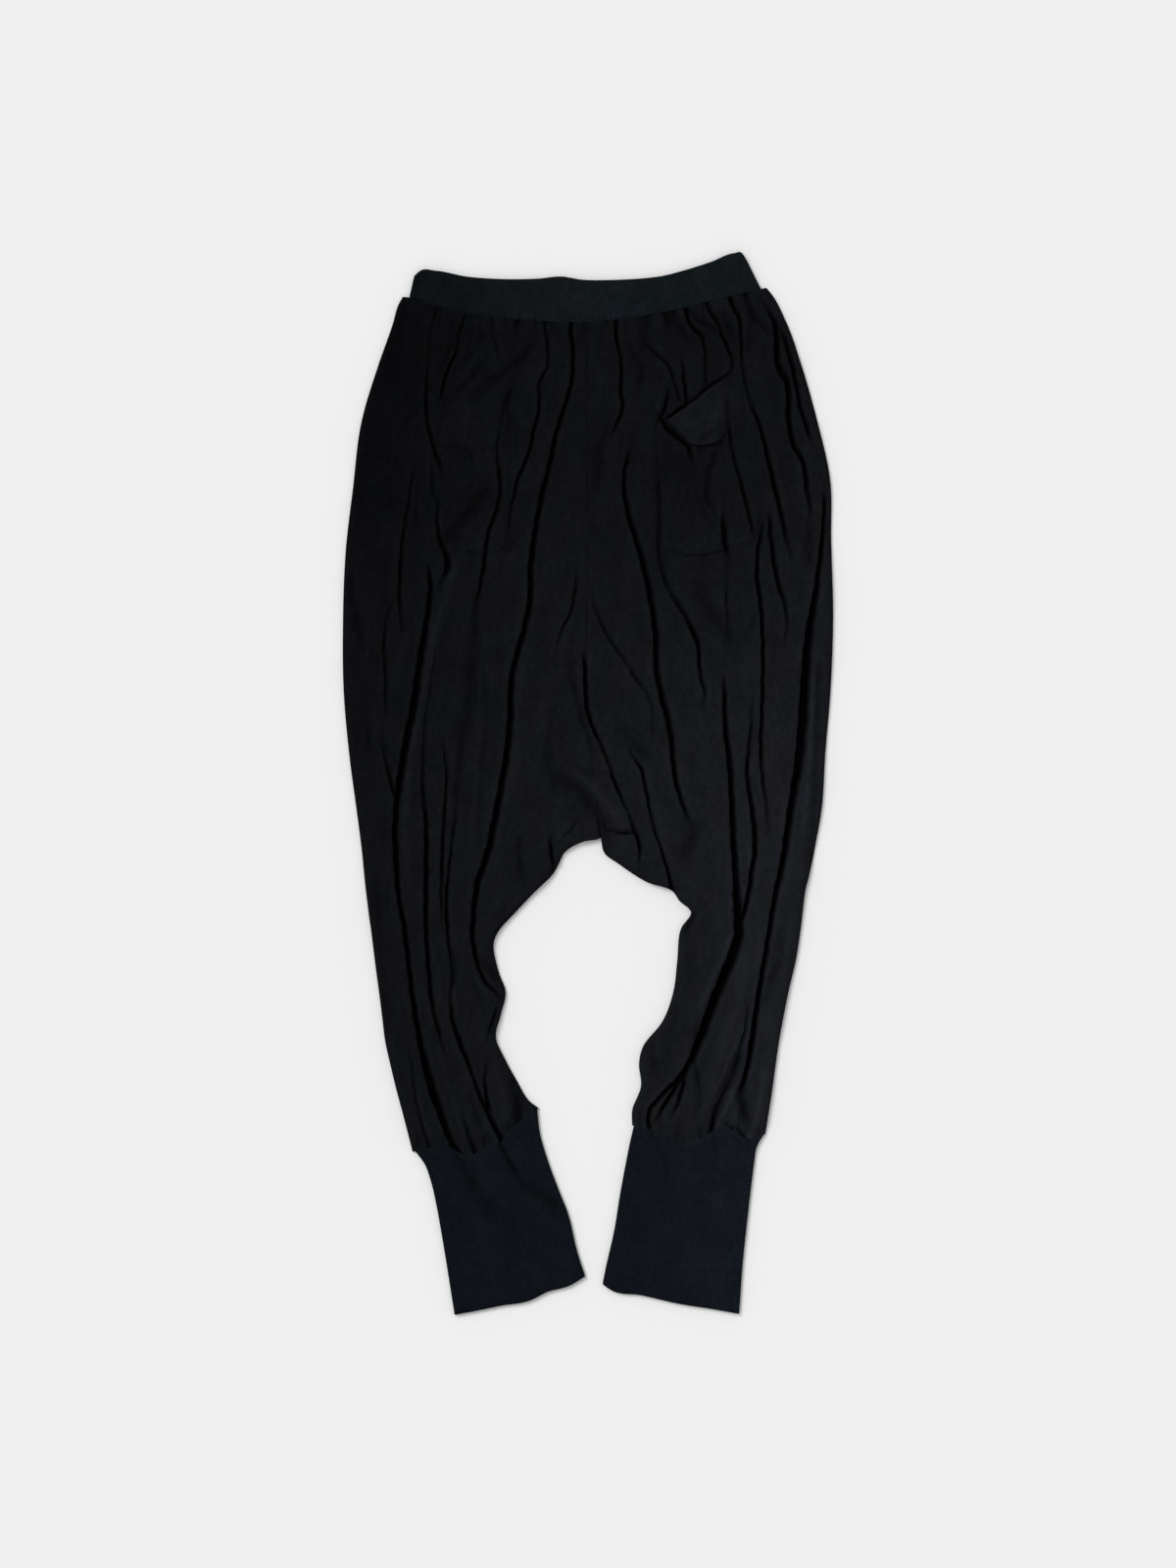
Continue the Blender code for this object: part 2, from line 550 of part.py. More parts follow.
def tube_rings(x, y, rolled, height, wall):
    """One closed ring for each row: over the top from left to right and back along the underside."""
    mid = height / 2
    top = mid + (height - wall - mid) * rolled
    low = mid - (mid - wall) * rolled
    rings = []
    for r in range(len(x)):
        over = [(x[r, c], y[r, c], top[r, c]) for c in range(x.shape[1])]
        back = [(x[r, c], y[r, c], low[r, c]) for c in range(x.shape[1] - 2, 0, -1)]
        rings.append(over + back)
    return rings


def tube_mesh(name, edges, shares, lines, height):
    """Flattened tube of rib knit, a wall thick, flat underneath and open at both ends."""
    width = np.hypot(edges[:, 2] - edges[:, 0], edges[:, 3] - edges[:, 1])[:, None]
    rolled = roll(np.minimum(shares, 1 - shares) * width, SIDE_ROUND)
    mesh = bpy.data.meshes.new(name)
    bm = bmesh.new()
    layers = []
    for wall in (0.0, RIB_WALL):
        across = wall / width + (1 - 2 * wall / width) * shares
        x, y = lay_rows(edges, across, *lines, 3, 3)
        rings = tube_rings(x, y, rolled, height, wall)
        layers.append([[bm.verts.new(np.array(point) * MM) for point in ring] for ring in rings])
    outer, inner = layers
    strips = list(zip(outer, outer[1:])) + list(zip(inner, inner[1:]))
    strips += [(outer[0], inner[0]), (outer[-1], inner[-1])]
    for one, two in strips:
        for k in range(len(one)):
            bm.faces.new((one[k - 1], one[k], two[k], two[k - 1]))
    bmesh.ops.recalc_face_normals(bm, faces=bm.faces)
    bm.to_mesh(mesh)
    bm.free()
    return mesh


def make_cuff(name, sections, seam, hem, knit):
    table = np.array(sections, float)
    knots, rows = section_rows(sections, CUFF_STEP)
    edges = np.array([smooth_curve(knots, table[:, c], rows) for c in range(4)]).T
    shares = tube_shares(abs(table[0, 2] - table[0, 0]), CUFF_COLUMNS)
    return add_object(name, tube_mesh(name, edges, shares, (seam, hem), CUFF_HEIGHT), knit)


def make_waistband(knit):
    left, right = BAND_ENDS
    top = np.array([[*BAND_TOP[0], *BAND_TOP[-1]]])
    foot = np.array([[left, line_y(WAIST_SEAM, left), right, line_y(WAIST_SEAM, right)]])
    edges = top + (foot - top) * np.linspace(0, 1, BAND_ROWS)[:, None]
    shares = tube_shares(right - left, BAND_COLUMNS)
    mesh = tube_mesh("waistband", edges, shares, (BAND_TOP, WAIST_SEAM), BAND_HEIGHT)
    return add_object("waistband", mesh, knit)


def main():
    clear_scene()
    cloth = make_material(*CLOTH)
    knit = make_material(*RIB)
    _, left_top = make_back_panel("back_left", LEFT_SECTIONS, LEFT_CUFF_SEAM, cloth)
    _, right_top = make_back_panel("back_right", RIGHT_SECTIONS, RIGHT_CUFF_SEAM, cloth)
    make_front_panel("front_left", LEFT_SECTIONS, LEFT_CUFF_SEAM, cloth)
    make_front_panel("front_right", RIGHT_SECTIONS, RIGHT_CUFF_SEAM, cloth)
    make_pocket("pocket_left", left_top, LEFT_POCKET, LEFT_POCKET_HEM, HEM_WALL, cloth)
    make_pocket("pocket_right", right_top, RIGHT_POCKET, RIGHT_POCKET_FLAP, FLAP_WALL, cloth)
    make_cuff("cuff_left", LEFT_CUFF, LEFT_CUFF_SEAM, LEFT_HEM, knit)
    make_cuff("cuff_right", RIGHT_CUFF, RIGHT_CUFF_SEAM, RIGHT_HEM, knit)
    make_waistband(knit)


main()
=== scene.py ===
"""Looks of the laid-flat harem pants: crinkled black jersey in lapped folds, fine rib waistband and cuffs.

Sizes are in millimetres, x to the right and y towards the waist from the middle of the garment, z up from
the surface it lies on. The meshes are made in metres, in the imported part's own frame.
"""

import math
from collections import namedtuple

import bpy
import numpy as np
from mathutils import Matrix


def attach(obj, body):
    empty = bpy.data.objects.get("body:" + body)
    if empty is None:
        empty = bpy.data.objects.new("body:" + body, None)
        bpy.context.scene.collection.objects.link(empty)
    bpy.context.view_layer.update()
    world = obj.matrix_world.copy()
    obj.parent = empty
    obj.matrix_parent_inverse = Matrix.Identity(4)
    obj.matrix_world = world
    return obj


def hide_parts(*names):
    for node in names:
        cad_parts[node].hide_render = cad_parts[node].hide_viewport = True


MM = 0.001

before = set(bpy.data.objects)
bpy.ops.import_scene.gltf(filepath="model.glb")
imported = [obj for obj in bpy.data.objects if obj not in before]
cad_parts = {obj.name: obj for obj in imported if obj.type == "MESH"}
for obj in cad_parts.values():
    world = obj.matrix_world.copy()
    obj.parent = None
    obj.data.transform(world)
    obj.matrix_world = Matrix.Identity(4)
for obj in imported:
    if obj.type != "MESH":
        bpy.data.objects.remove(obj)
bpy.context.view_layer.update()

# ---------------------------------------------------------------- sizes of the cloth
SHELL = 0.7  # thickness of the jersey
LAYER_GAP = 0.2
UNDER_TOP = 0.9  # upper side of the lower layer where it lies flat
EDGE_TOP = UNDER_TOP + LAYER_GAP + SHELL  # upper layer's face where it is lowest
SEAM_GAP = 0.12
HIP_LOFT, LEG_LOFT = 4.6, 7.2
LEG_TOP, LEG_RAMP = 60.0, 220.0
HIP_ROUND, LEG_ROUND = 7.0, 10.0  # width over which an edge rolls down
CUFF_FALL, CUFF_MEET = 16.0, 4.8  # the cloth comes down to the cuff's height over this length
WAIST_FALL, WAIST_MEET = 14.0, 5.3
WAIST_ZONE, ANKLE_ZONE, CUFF_ZONE = 380.0, -200.0, -300.0  # the waist seam acts above, the cuffs' below
SEAM_DIP, SEAM_WIDTH = 0.8, 1.3  # the centre seam
SEAM_RIDGE, SEAM_RIDGE_OFF, SEAM_RIDGE_WIDTH = 0.35, 3.4, 1.6
STILL_EDGE = 4.0  # folds lean less within this distance of a panel's edge
FAR_AWAY = 1000.0  # stands for no edge at all
UNDER_INSET = 0.6
UNDER_WAVE, UNDER_WAVE_SQUEEZE, UNDER_WAVE_LIFT = 0.55, 1.3, 0.1
UNDER_REST, UNDER_REST_LIFT = 0.12, 0.2  # the lower layer's underside is this much lower where it rests

# Lapped folds: a steep left bank that leans over a dark floor, then a slower right bank
WALL_RUN = 1.2
FLOOR_LOSS = 0.5
BANK_SHARE, BANK_LEAST, BANK_POWER = 0.3, 2.3, 1.4
CENTRE_SHARE = 0.5  # a fold's course is the middle of what looks dark
LEFT_LIP, LEFT_LIP_OFF, LEFT_LIP_WIDTH = 0.09, 3.2, 2.4
RIGHT_LIP, RIGHT_LIP_OFF, RIGHT_LIP_WIDTH = 0.07, 1.0, 2.0
LEAN, LEAN_MOST, LEAN_WIDTH = 0.10, 0.7, 1.3
FULL_DARK_DEPTH = 4.0  # folds at least this deep get the full painted shade
LIP_PAINTED_LIGHT = 0.10  # painted highlight: how much lighter the cloth is painted on both lips of a deep fold
SOFT_PAINTED_SHADE, SOFT_PAINTED_LIGHT = 0.15, 0.14  # painted shade for each millimetre of a soft trough, and painted highlight for each millimetre of a ridge
RIDGE_RISE = 0.4  # share of a ridge's height that shows as form, the rest being painted light
FADE, FADE_MOST = 26.0, 0.45  # a fold's end fades over this length, or this share of a short fold
RUN_ON = 15.0  # how far a fold runs on, fading, past the ends of its course
SEAM_REACH = 14.0  # a fold that ends nearer than this to a seam runs right up to it
FOLD_REACH = 24.0  # a fold does nothing farther from its course than this
COURSE_STEP, COURSE_RUN = 2.0, 12  # between a course's places, and how many are searched at a time
WOBBLES = ((0.20, 15.0), (0.25, 27.0))  # a course's small sideways waves and their lengths
UNEVEN, UNEVEN_LONG = 0.12, 31.0
MELD = 4  # power by which folds that meet are joined smoothly

Section = namedtuple("Section", "outer_x outer_y inner_x inner_y parted")
LEFT_SECTIONS = [
    Section(-189, 497, 0, 471, 0),
    Section(-193, 490, 0, 465, 0),
    Section(-199, 470, 0, 450, 0),
    Section(-213, 430, 0, 415, 0),
    Section(-231, 370, 0, 362, 0),
    Section(-240, 300, 0, 300, 0),
    Section(-247, 240, 0, 240, 0),
    Section(-250, 165, 0, 170, 0),
    Section(-249, 90, -1, 100, 0),
    Section(-243, 25, 2, 45, 0),
    Section(-237, -20, 7, 0, 0),
    Section(-232, -58, 13, -55, 1),
    Section(-230, -75, -8, -60, 1),
    Section(-229, -86, -24, -70, 1),
    Section(-228, -96, -29, -80, 1),
    Section(-227, -106, -35, -91, 1),
    Section(-225, -122, -54, -110, 1),
    Section(-223, -138, -73, -130, 1),
    Section(-221, -152, -91, -150, 1),
    Section(-219, -168, -96, -162, 1),
    Section(-216, -192, -91, -192, 1),
    Section(-213, -214, -84, -212, 1),
    Section(-210, -238, -89, -236, 1),
    Section(-207, -262, -94, -258, 1),
    Section(-202, -285, -85, -280, 1),
    Section(-196, -310, -73, -302, 1),
    Section(-188, -340, -62, -321, 1),
    Section(-179, -375, -50, -331, 1),
]
RIGHT_SECTIONS = [
    Section(182, 507, 0, 471, 0),
    Section(187, 501, 0, 465, 0),
    Section(203, 470, 0, 440, 0),
    Section(217, 430, 0, 405, 0),
    Section(234, 370, 0, 355, 0),
    Section(247, 310, 0, 302, 0),
    Section(248, 250, 0, 247, 0),
    Section(250, 170, 0, 175, 0),
    Section(247, 90, -1, 100, 0),
    Section(242, 30, 2, 45, 0),
    Section(239, -20, 7, 0, 0),
    Section(232, -62, 13, -55, 1),
    Section(229, -78, 17, -71, 1),
    Section(226, -92, 29, -80, 1),
    Section(222, -108, 60, -100, 1),
    Section(220, -122, 87, -110, 1),
    Section(219, -131, 93, -119, 1),
    Section(218, -140, 105, -130, 1),
    Section(216, -155, 95, -147, 1),
    Section(212, -180, 91, -180, 1),
    Section(205, -210, 87, -212, 1),
    Section(199, -240, 76, -242, 1),
    Section(194, -268, 56, -268, 1),
    Section(191, -290, 52, -285, 1),
    Section(188, -312, 54, -308, 1),
    Section(184, -338, 45, -333, 1),
    Section(181, -357, 45, -348, 1),
]
WAIST_SEAM = [
    (-191, 497), (-176, 495), (-150, 486), (-100, 477), (-50, 472), (0, 471), (50, 476), (100, 486),
    (145, 497), (186, 507),
]
CENTRE_SEAM = [(-55, 13), (0, 7), (45, 2), (100, -1), (175, 0), (471, 0)]  # (y, x) from the crotch up
BAND_TOP = [
    (-177, 518), (-171, 523), (-155, 523), (-123, 517), (-99, 515), (-51, 515), (-25, 517), (-3, 512),
    (21, 511), (61, 514), (93, 522), (125, 532), (149, 541), (157, 541), (161, 535),
]
BAND_ENDS = (-182, 176)
LEFT_CUFF_SEAM = [
    (-179, -375), (-160, -371), (-142, -369), (-131, -376), (-120, -379), (-109, -373), (-99, -366),
    (-90, -366), (-82, -356), (-70, -344), (-50, -331),
]
RIGHT_CUFF_SEAM = [(45, -348), (72, -354), (100, -368), (119, -359), (139, -348), (157, -360), (181, -357)]
LEFT_HEM = [(-136, -541), (-114, -537), (-90, -532), (-58, -526), (-42, -518), (-18, -511), (-3, -502)]
RIGHT_HEM = [(15, -510), (22, -515), (54, -521), (94, -530), (126, -535), (154, -540)]

CuffSection = namedtuple("CuffSection", "outer_x outer_y inner_x inner_y")
LEFT_CUFF = [
    CuffSection(-176, -377, -52, -333),
    CuffSection(-166, -390, -49, -358),
    CuffSection(-160, -406, -42, -382),
    CuffSection(-154, -432, -31, -412),
    CuffSection(-149, -460, -20, -440),
    CuffSection(-144, -490, -12, -474),
    CuffSection(-136, -541, -3, -502),
]
RIGHT_CUFF = [
    CuffSection(179, -358, 47, -349),
    CuffSection(172, -370, 43, -366),
    CuffSection(169, -388, 39, -386),
    CuffSection(165, -420, 33, -418),
    CuffSection(161, -455, 27, -455),
    CuffSection(157, -495, 19, -490),
    CuffSection(154, -540, 15, -510),
]

# ---------------------------------------------------------------- folds
# One row for each fold: its name, its widths, its depths, and the (x, y) places of its course from the
# top down. Widths and depths are one number, or several spread evenly along the course.
# Lapped folds, by the width of their dark floor
FOLDS = [
    ("left pocket outer", (1.4, 1.4, 1.6, 2.4, 2.4, 2.0), (1.2, 0.8, 1.0, 4.0, 4.6, 2.6), (-153, 484),
     (-160, 460), (-162, 430), (-165, 397), (-163, 366), (-157, 342), (-149, 320)),
    ("left waist short", (1.4, 1.6, 2.2, 2.0), (2.0, 2.0, 4.0, 4.0), (-124, 480), (-130, 463),
     (-136, 436), (-144, 420), (-149, 397)),
    ("left waist faint", 1.5, 1.4, (-98, 481), (-97, 462), (-92, 440)),
    ("left pocket inner", (1.8, 1.8, 2.2, 2.2, 1.8), (2.6, 2.4, 2.4, 4.4, 4.4, 2.4, 1.0), (-45, 474),
     (-42, 454), (-41, 427), (-49, 408), (-50, 381), (-55, 362), (-61, 336), (-72, 309), (-76, 290),
     (-80, 271), (-82, 254)),
    ("left main inner", (2.8, 2.4, 3.4, 4.0, 4.2, 4.4, 4.8, 4.8, 3.6, 2.0),
     (5, 5, 7, 7.6, 7.6, 7.6, 7.6, 7, 6, 2.6), (-17, 481), (-18, 465), (-16, 446), (-18, 405),
     (-24, 385), (-32, 360), (-39, 328), (-48, 291), (-55, 252), (-59, 220), (-59, 192), (-64, 163),
     (-71, 138), (-77, 115), (-80, 60), (-84, 25), (-90, -8), (-96, -40), (-104, -75), (-112, -98),
     (-117, -135), (-118, -155), (-114, -178), (-107, -198), (-97, -210), (-91, -216)),
    ("left over pocket", (1.6, 1.8, 2.0, 2.6, 2.6, 2.2), (1.0, 1.2, 3.6, 4.4, 4.4, 2.0), (-76, 401),
     (-83, 392), (-86, 378), (-90, 361), (-92, 345), (-92, 330), (-90, 312), (-90, 294), (-96, 271),
     (-102, 254), (-105, 234), (-109, 205), (-114, 183)),
    ("left pocket foot", (2.6, 1.4, 1.8, 3.0, 5.0, 3.6), (2.6, 1.2, 3.4, 4.2, 4.0, 2.0), (-158, 311),
     (-157, 297), (-153, 285), (-154, 267), (-151, 249), (-146, 236), (-143, 222), (-149, 205)),
    ("left hip outer", (1.8, 2.2, 2.0), (1.4, 2.2, 3.4, 1.2), (-178, 315), (-183, 285), (-188, 255),
     (-191, 225), (-192, 200), (-191, 175), (-188, 152)),
    ("left main outer", (2.6, 4.4, 5.6, 5.0, 4.0, 3.2, 3.2, 3.6, 6.6, 3.6),
     (5, 7.6, 7.8, 7.8, 7.4, 6.4, 6.8, 7.8, 7.8, 4), (-162, 216), (-161, 200), (-164, 172), (-169, 142),
     (-174, 108), (-179, 75), (-186, 42), (-191, 12), (-195, -17), (-197, -45), (-196, -75),
     (-193, -115), (-188, -143), (-184, -175), (-180, -210), (-175, -243), (-168, -278), (-159, -312),
     (-149, -340), (-141, -362), (-132, -376)),
    ("left leg second", (1.6, 2.0, 2.8, 3.2, 2.8, 2.0), (1.0, 1.2, 2.4, 4.6, 5, 4.4, 2.0), (-155, 134),
     (-160, 100), (-166, 60), (-168, 20), (-168, -8), (-165, -40), (-165, -75), (-165, -150),
     (-162, -195), (-158, -228), (-152, -252), (-146, -272)),
    ("left leg third", (1.2, 1.8, 2.2, 1.8), (1.2, 3.4, 3.4, 1.6), (-148, 44), (-145, 22), (-144, 5),
     (-146, -25), (-148, -60), (-149, -100), (-149, -125), (-148, -145)),
    ("left leg fourth", (1.8, 1.4, 1.6, 2.4, 1.8, 1.8, 3.4, 1.8, 2.6, 4.4),
     (1.6, 2.2, 3.2, 4.2, 2.4, 2.2, 5.0, 3.4, 4.0, 5.4), (-133, -17), (-137, -48), (-141, -82),
     (-144, -110), (-144, -140), (-141, -170), (-138, -195), (-140, -217), (-138, -240), (-130, -265),
     (-121, -288), (-110, -318), (-100, -340), (-91, -358), (-84, -372)),
    ("left ankle short", (1.6, 2.0, 3.2), (1.4, 3.4, 5.0), (-103, -284), (-105, -300), (-104, -316),
     (-100, -334)),
    ("left outseam faint", 2.0, (1.4, 2.4, 2.2, 1.0), (-202, 178), (-206, 160), (-208, 140), (-206, 110),
     (-206, 85), (-205, 66)),
    ("left knee branch", (1.8, 2.4), (1.4, 2.4, 4.0), (-210, 42), (-206, 25), (-201, 2), (-196, -14)),
    ("left ankle outer", 1.8, (1.0, 1.6, 2.0), (-182, -268), (-179, -290), (-177, -308), (-173, -330),
     (-169, -346), (-165, -359)),
    ("left ankle middle", 2.4, (1.0, 3.4), (-131, -334), (-125, -347), (-121, -358), (-118, -368)),
    ("left ankle branch", 2.2, 3.0, (-95, -234), (-97, -241), (-99, -248)),
    ("crotch main", (2.6, 3.0, 2.4, 2.0, 2.6, 1.6, 2.8, 1.6),
     (4.4, 5.4, 5.0, 3.6, 2.4, 4.4, 1.8, 5.0, 1.6), (-4, 128), (-3, 105), (-2, 82), (2, 65), (11, 44),
     (20, 24), (27, 2), (32, -10), (40, -27), (46, -44), (51, -58), (53, -72), (52, -82)),
    ("crotch left high", 1.8, (1.4, 2.6, 2.6, 1.4), (-11, 214), (-13, 197), (-17, 177), (-21, 167),
     (-27, 156), (-31, 142)),
    ("crotch right high", 2.0, (1.2, 2.4, 2.2, 2.2, 1.4, 0.8), (5, 190), (12, 167), (22, 148), (33, 132),
     (43, 117), (52, 103), (61, 91), (65, 80), (66, 62), (66, 42)),
    ("crotch tuck", 1.6, 3.4, (26, -48), (33, -50), (43, -50)),
    ("crotch left tuck", 2.4, 4.0, (-38, -62), (-37, -72), (-36, -80)),
    ("crotch left nick", 1.8, 1.6, (-10, -38), (-17, -46), (-24, -54)),
    ("right waist inner", (2.4, 2.4, 1.8, 2.4, 2.4, 2.0), (5, 4.2, 3.2, 3.2, 4.8, 3.8, 1.4), (31, 484),
     (28, 468), (29, 453), (33, 434), (34, 420), (33, 403), (35, 385), (33, 376), (27, 362), (23, 354)),
    ("right main inner", (2.0, 3.4, 4.2, 4.4, 4.4, 4.4, 3.6, 2.0), (2.4, 6.4, 7, 7, 7, 7, 6.4, 2.6),
     (42, 336), (37, 318), (37, 296), (42, 270), (50, 245), (56, 224), (63, 192), (67, 168), (69, 145),
     (69, 122), (74, 92), (80, 70), (85, 42), (87, 17), (91, -4), (97, -22), (103, -37)),
    ("right thigh inner", (1.8, 2.0, 1.8, 1.4, 1.4, 1.8, 2.4), (2.4, 4.4, 4.0, 3.4, 3.4, 4.4, 6),
     (44, 31), (50, 22), (55, 12), (58, -2), (62, -22), (67, -44), (74, -65), (80, -85), (86, -108)),
    ("right thigh high", (2.0, 3.0, 3.4, 3.2, 2.4, 1.6), (1.6, 2.0, 2.4, 3.4, 4.4, 3.6, 1.4), (71, 255),
     (72, 238), (77, 213), (86, 192), (97, 175), (107, 155), (113, 136), (113, 122), (116, 104),
     (119, 94), (118, 80)),
    ("right pocket upper", (2.4, 2.0, 1.8), (2.2, 2.8, 2.4, 2.6), (61, 446), (73, 435), (81, 427),
     (86, 416), (90, 402), (95, 390)),
    ("right pocket second", (2.0, 1.8), (1.2, 3.0, 5.0), (95, 438), (97, 420), (99, 403), (100, 388)),
    ("right waist third", (2.6, 2.4, 2.0, 2.2), (4.4, 4.0, 3.2, 1.8, 2.6), (98, 489), (102, 474),
     (108, 463), (115, 457), (119, 443), (120, 425), (120, 407)),
    ("right pocket corner", (2.8, 2.2, 1.8, 2.0, 1.6, 1.8, 2.4),
     (2.8, 3.4, 2.6, 3.6, 4.0, 3.4, 1.6, 2.4, 3.0, 2.0, 3.4, 5, 5), (120, 492), (125, 480), (133, 468),
     (137, 455), (143, 443), (147, 430), (145, 419), (140, 415), (129, 409), (120, 402), (110, 393),
     (101, 387), (91, 380), (83, 374)),
    ("right hip main", (2.8, 2.2, 2.0, 2.2, 2.6, 3.0, 2.8, 2.0),
     (4.4, 3.4, 2.0, 2.6, 4.4, 5.4, 5.4, 3.4, 1.2), (143, 498), (148, 486), (154, 473), (156, 452),
     (157, 432), (161, 405), (167, 384), (174, 367), (180, 345), (185, 323), (191, 298), (197, 274),
     (202, 250), (208, 228)),
    ("right hip outer", (2.4, 4.0, 4.4, 4.2, 3.6, 2.8, 3.4, 2.0), (2.4, 6, 6.4, 6, 5.4, 4.6, 3.8, 1.2),
     (182, 486), (189, 472), (192, 455), (192, 437), (196, 420), (202, 410), (204, 392), (204, 378),
     (206, 358), (211, 342), (219, 328), (222, 307), (225, 289), (228, 270)),
    ("side pocket mouth", (2.4, 2.6, 2.6, 2.0), (2.4, 4.4, 4.4, 3.6), (196, 465), (202, 447), (208, 425),
     (213, 400), (217, 380), (222, 366), (226, 353)),
    ("right pocket long", (3.4, 2.2, 2.2, 2.6, 2.2), (1.2, 3.2, 3.0, 4.2, 2.8), (142, 392), (143, 375),
     (145, 352), (148, 335), (154, 313), (160, 290), (165, 270), (168, 256)),
    ("right pocket foot", (2.4, 4.0, 3.6, 2.0), (2.0, 5.0, 5.0, 1.0), (138, 276), (138, 259), (139, 247),
     (142, 236), (145, 228)),
    ("right pocket foot below", 1.4, (1.4, 2.6, 2.0, 1.0), (141, 205), (141, 190), (142, 172),
     (142, 156)),
    ("right leg second", (2.2, 2.8, 2.4, 2.4, 2.0), (2.4, 5, 4.6, 4.4, 4.6, 3, 1), (178, 262),
     (174, 244), (172, 222), (173, 202), (175, 190), (177, 165), (178, 140), (178, 108), (177, 70),
     (176, 35), (178, 5), (182, -22), (184, -45)),
    ("right hip beside", (2.4, 3.0, 2.6, 2.0), (2.6, 4.4, 4.4, 2.6, 1.0), (185, 274), (186, 253),
     (189, 229), (194, 203), (200, 185), (203, 165), (201, 145)),
    ("right main outer", (2.2, 2.8, 4.0, 6.0, 7.2, 7.8, 7.4, 6.0, 5.2, 4.2, 3.6, 3.4, 4.0, 4.4, 3.4),
     (5, 6, 7.8, 7.8, 7.8, 7.8, 7.8, 7.8, 7.6, 7, 6, 6, 7, 7, 4), (241, 290), (240, 270), (238, 245),
     (235, 220), (231, 190), (226, 163), (223, 138), (221, 108), (219, 78), (217, 50), (214, 20),
     (208, -15), (203, -47), (198, -80), (191, -110), (186, -140), (181, -170), (175, -205), (170, -237),
     (166, -265), (161, -293), (156, -310)),
    ("right leg sweep", (2.0, 3.4, 4.2, 4.2, 4.4, 4.8, 7.4, 8.6, 8.0, 7.4, 4.4, 2.4, 2.6),
     (3, 7, 7.8, 7.8, 7.8, 7.8, 7.8, 7.8, 7.8, 7.4, 6, 4.4, 4.4), (139, 104), (139, 82), (140, 55),
     (144, 22), (146, -15), (148, -58), (150, -95), (152, -130), (153, -152), (146, -176), (136, -200),
     (126, -225), (117, -250), (107, -275), (97, -294), (86, -306), (73, -319), (64, -330), (61, -343),
     (63, -354)),
    ("right leg short", (1.6, 2.6, 3.2, 3.4, 3.2), (1.2, 3.4, 5, 5.4, 5.6), (168, 85), (166, 55),
     (163, 28), (162, 10), (165, -13), (169, -42), (170, -62), (166, -93), (162, -118), (157, -137),
     (154, -148)),
    ("right ankle branch", (2.8, 2.8, 2.2), (5.0, 5.0, 3.6), (99, -295), (91, -306), (83, -318),
     (76, -330), (71, -339)),
    ("right ankle inner", (2.8, 2.6, 2.0), (4.8, 4.2, 2.6), (98, -299), (96, -310), (93, -321),
     (88, -333)),
    ("right ankle outer", (1.8, 2.2, 2.4, 2.4, 3.0), (2.2, 2.0, 2.2, 2.8, 4.6), (163, -232), (160, -250),
     (156, -266), (151, -284), (145, -300), (137, -317), (130, -332), (126, -350)),
    ("right ankle tuck", 1.6, 3.0, (145, -349), (152, -352), (156, -356), (159, -362)),
    ("under the flap", (3.0, 4.0, 3.6, 3.0, 2.2), (5, 5, 5, 4.6, 2.4), (73, 374), (80, 363), (89, 355),
     (97, 348), (103, 343), (104, 336), (107, 328)),
    ("pocket corner", 2.0, (3.0, 4.0, 5.0), (82, 398), (78, 384), (73, 371)),
]
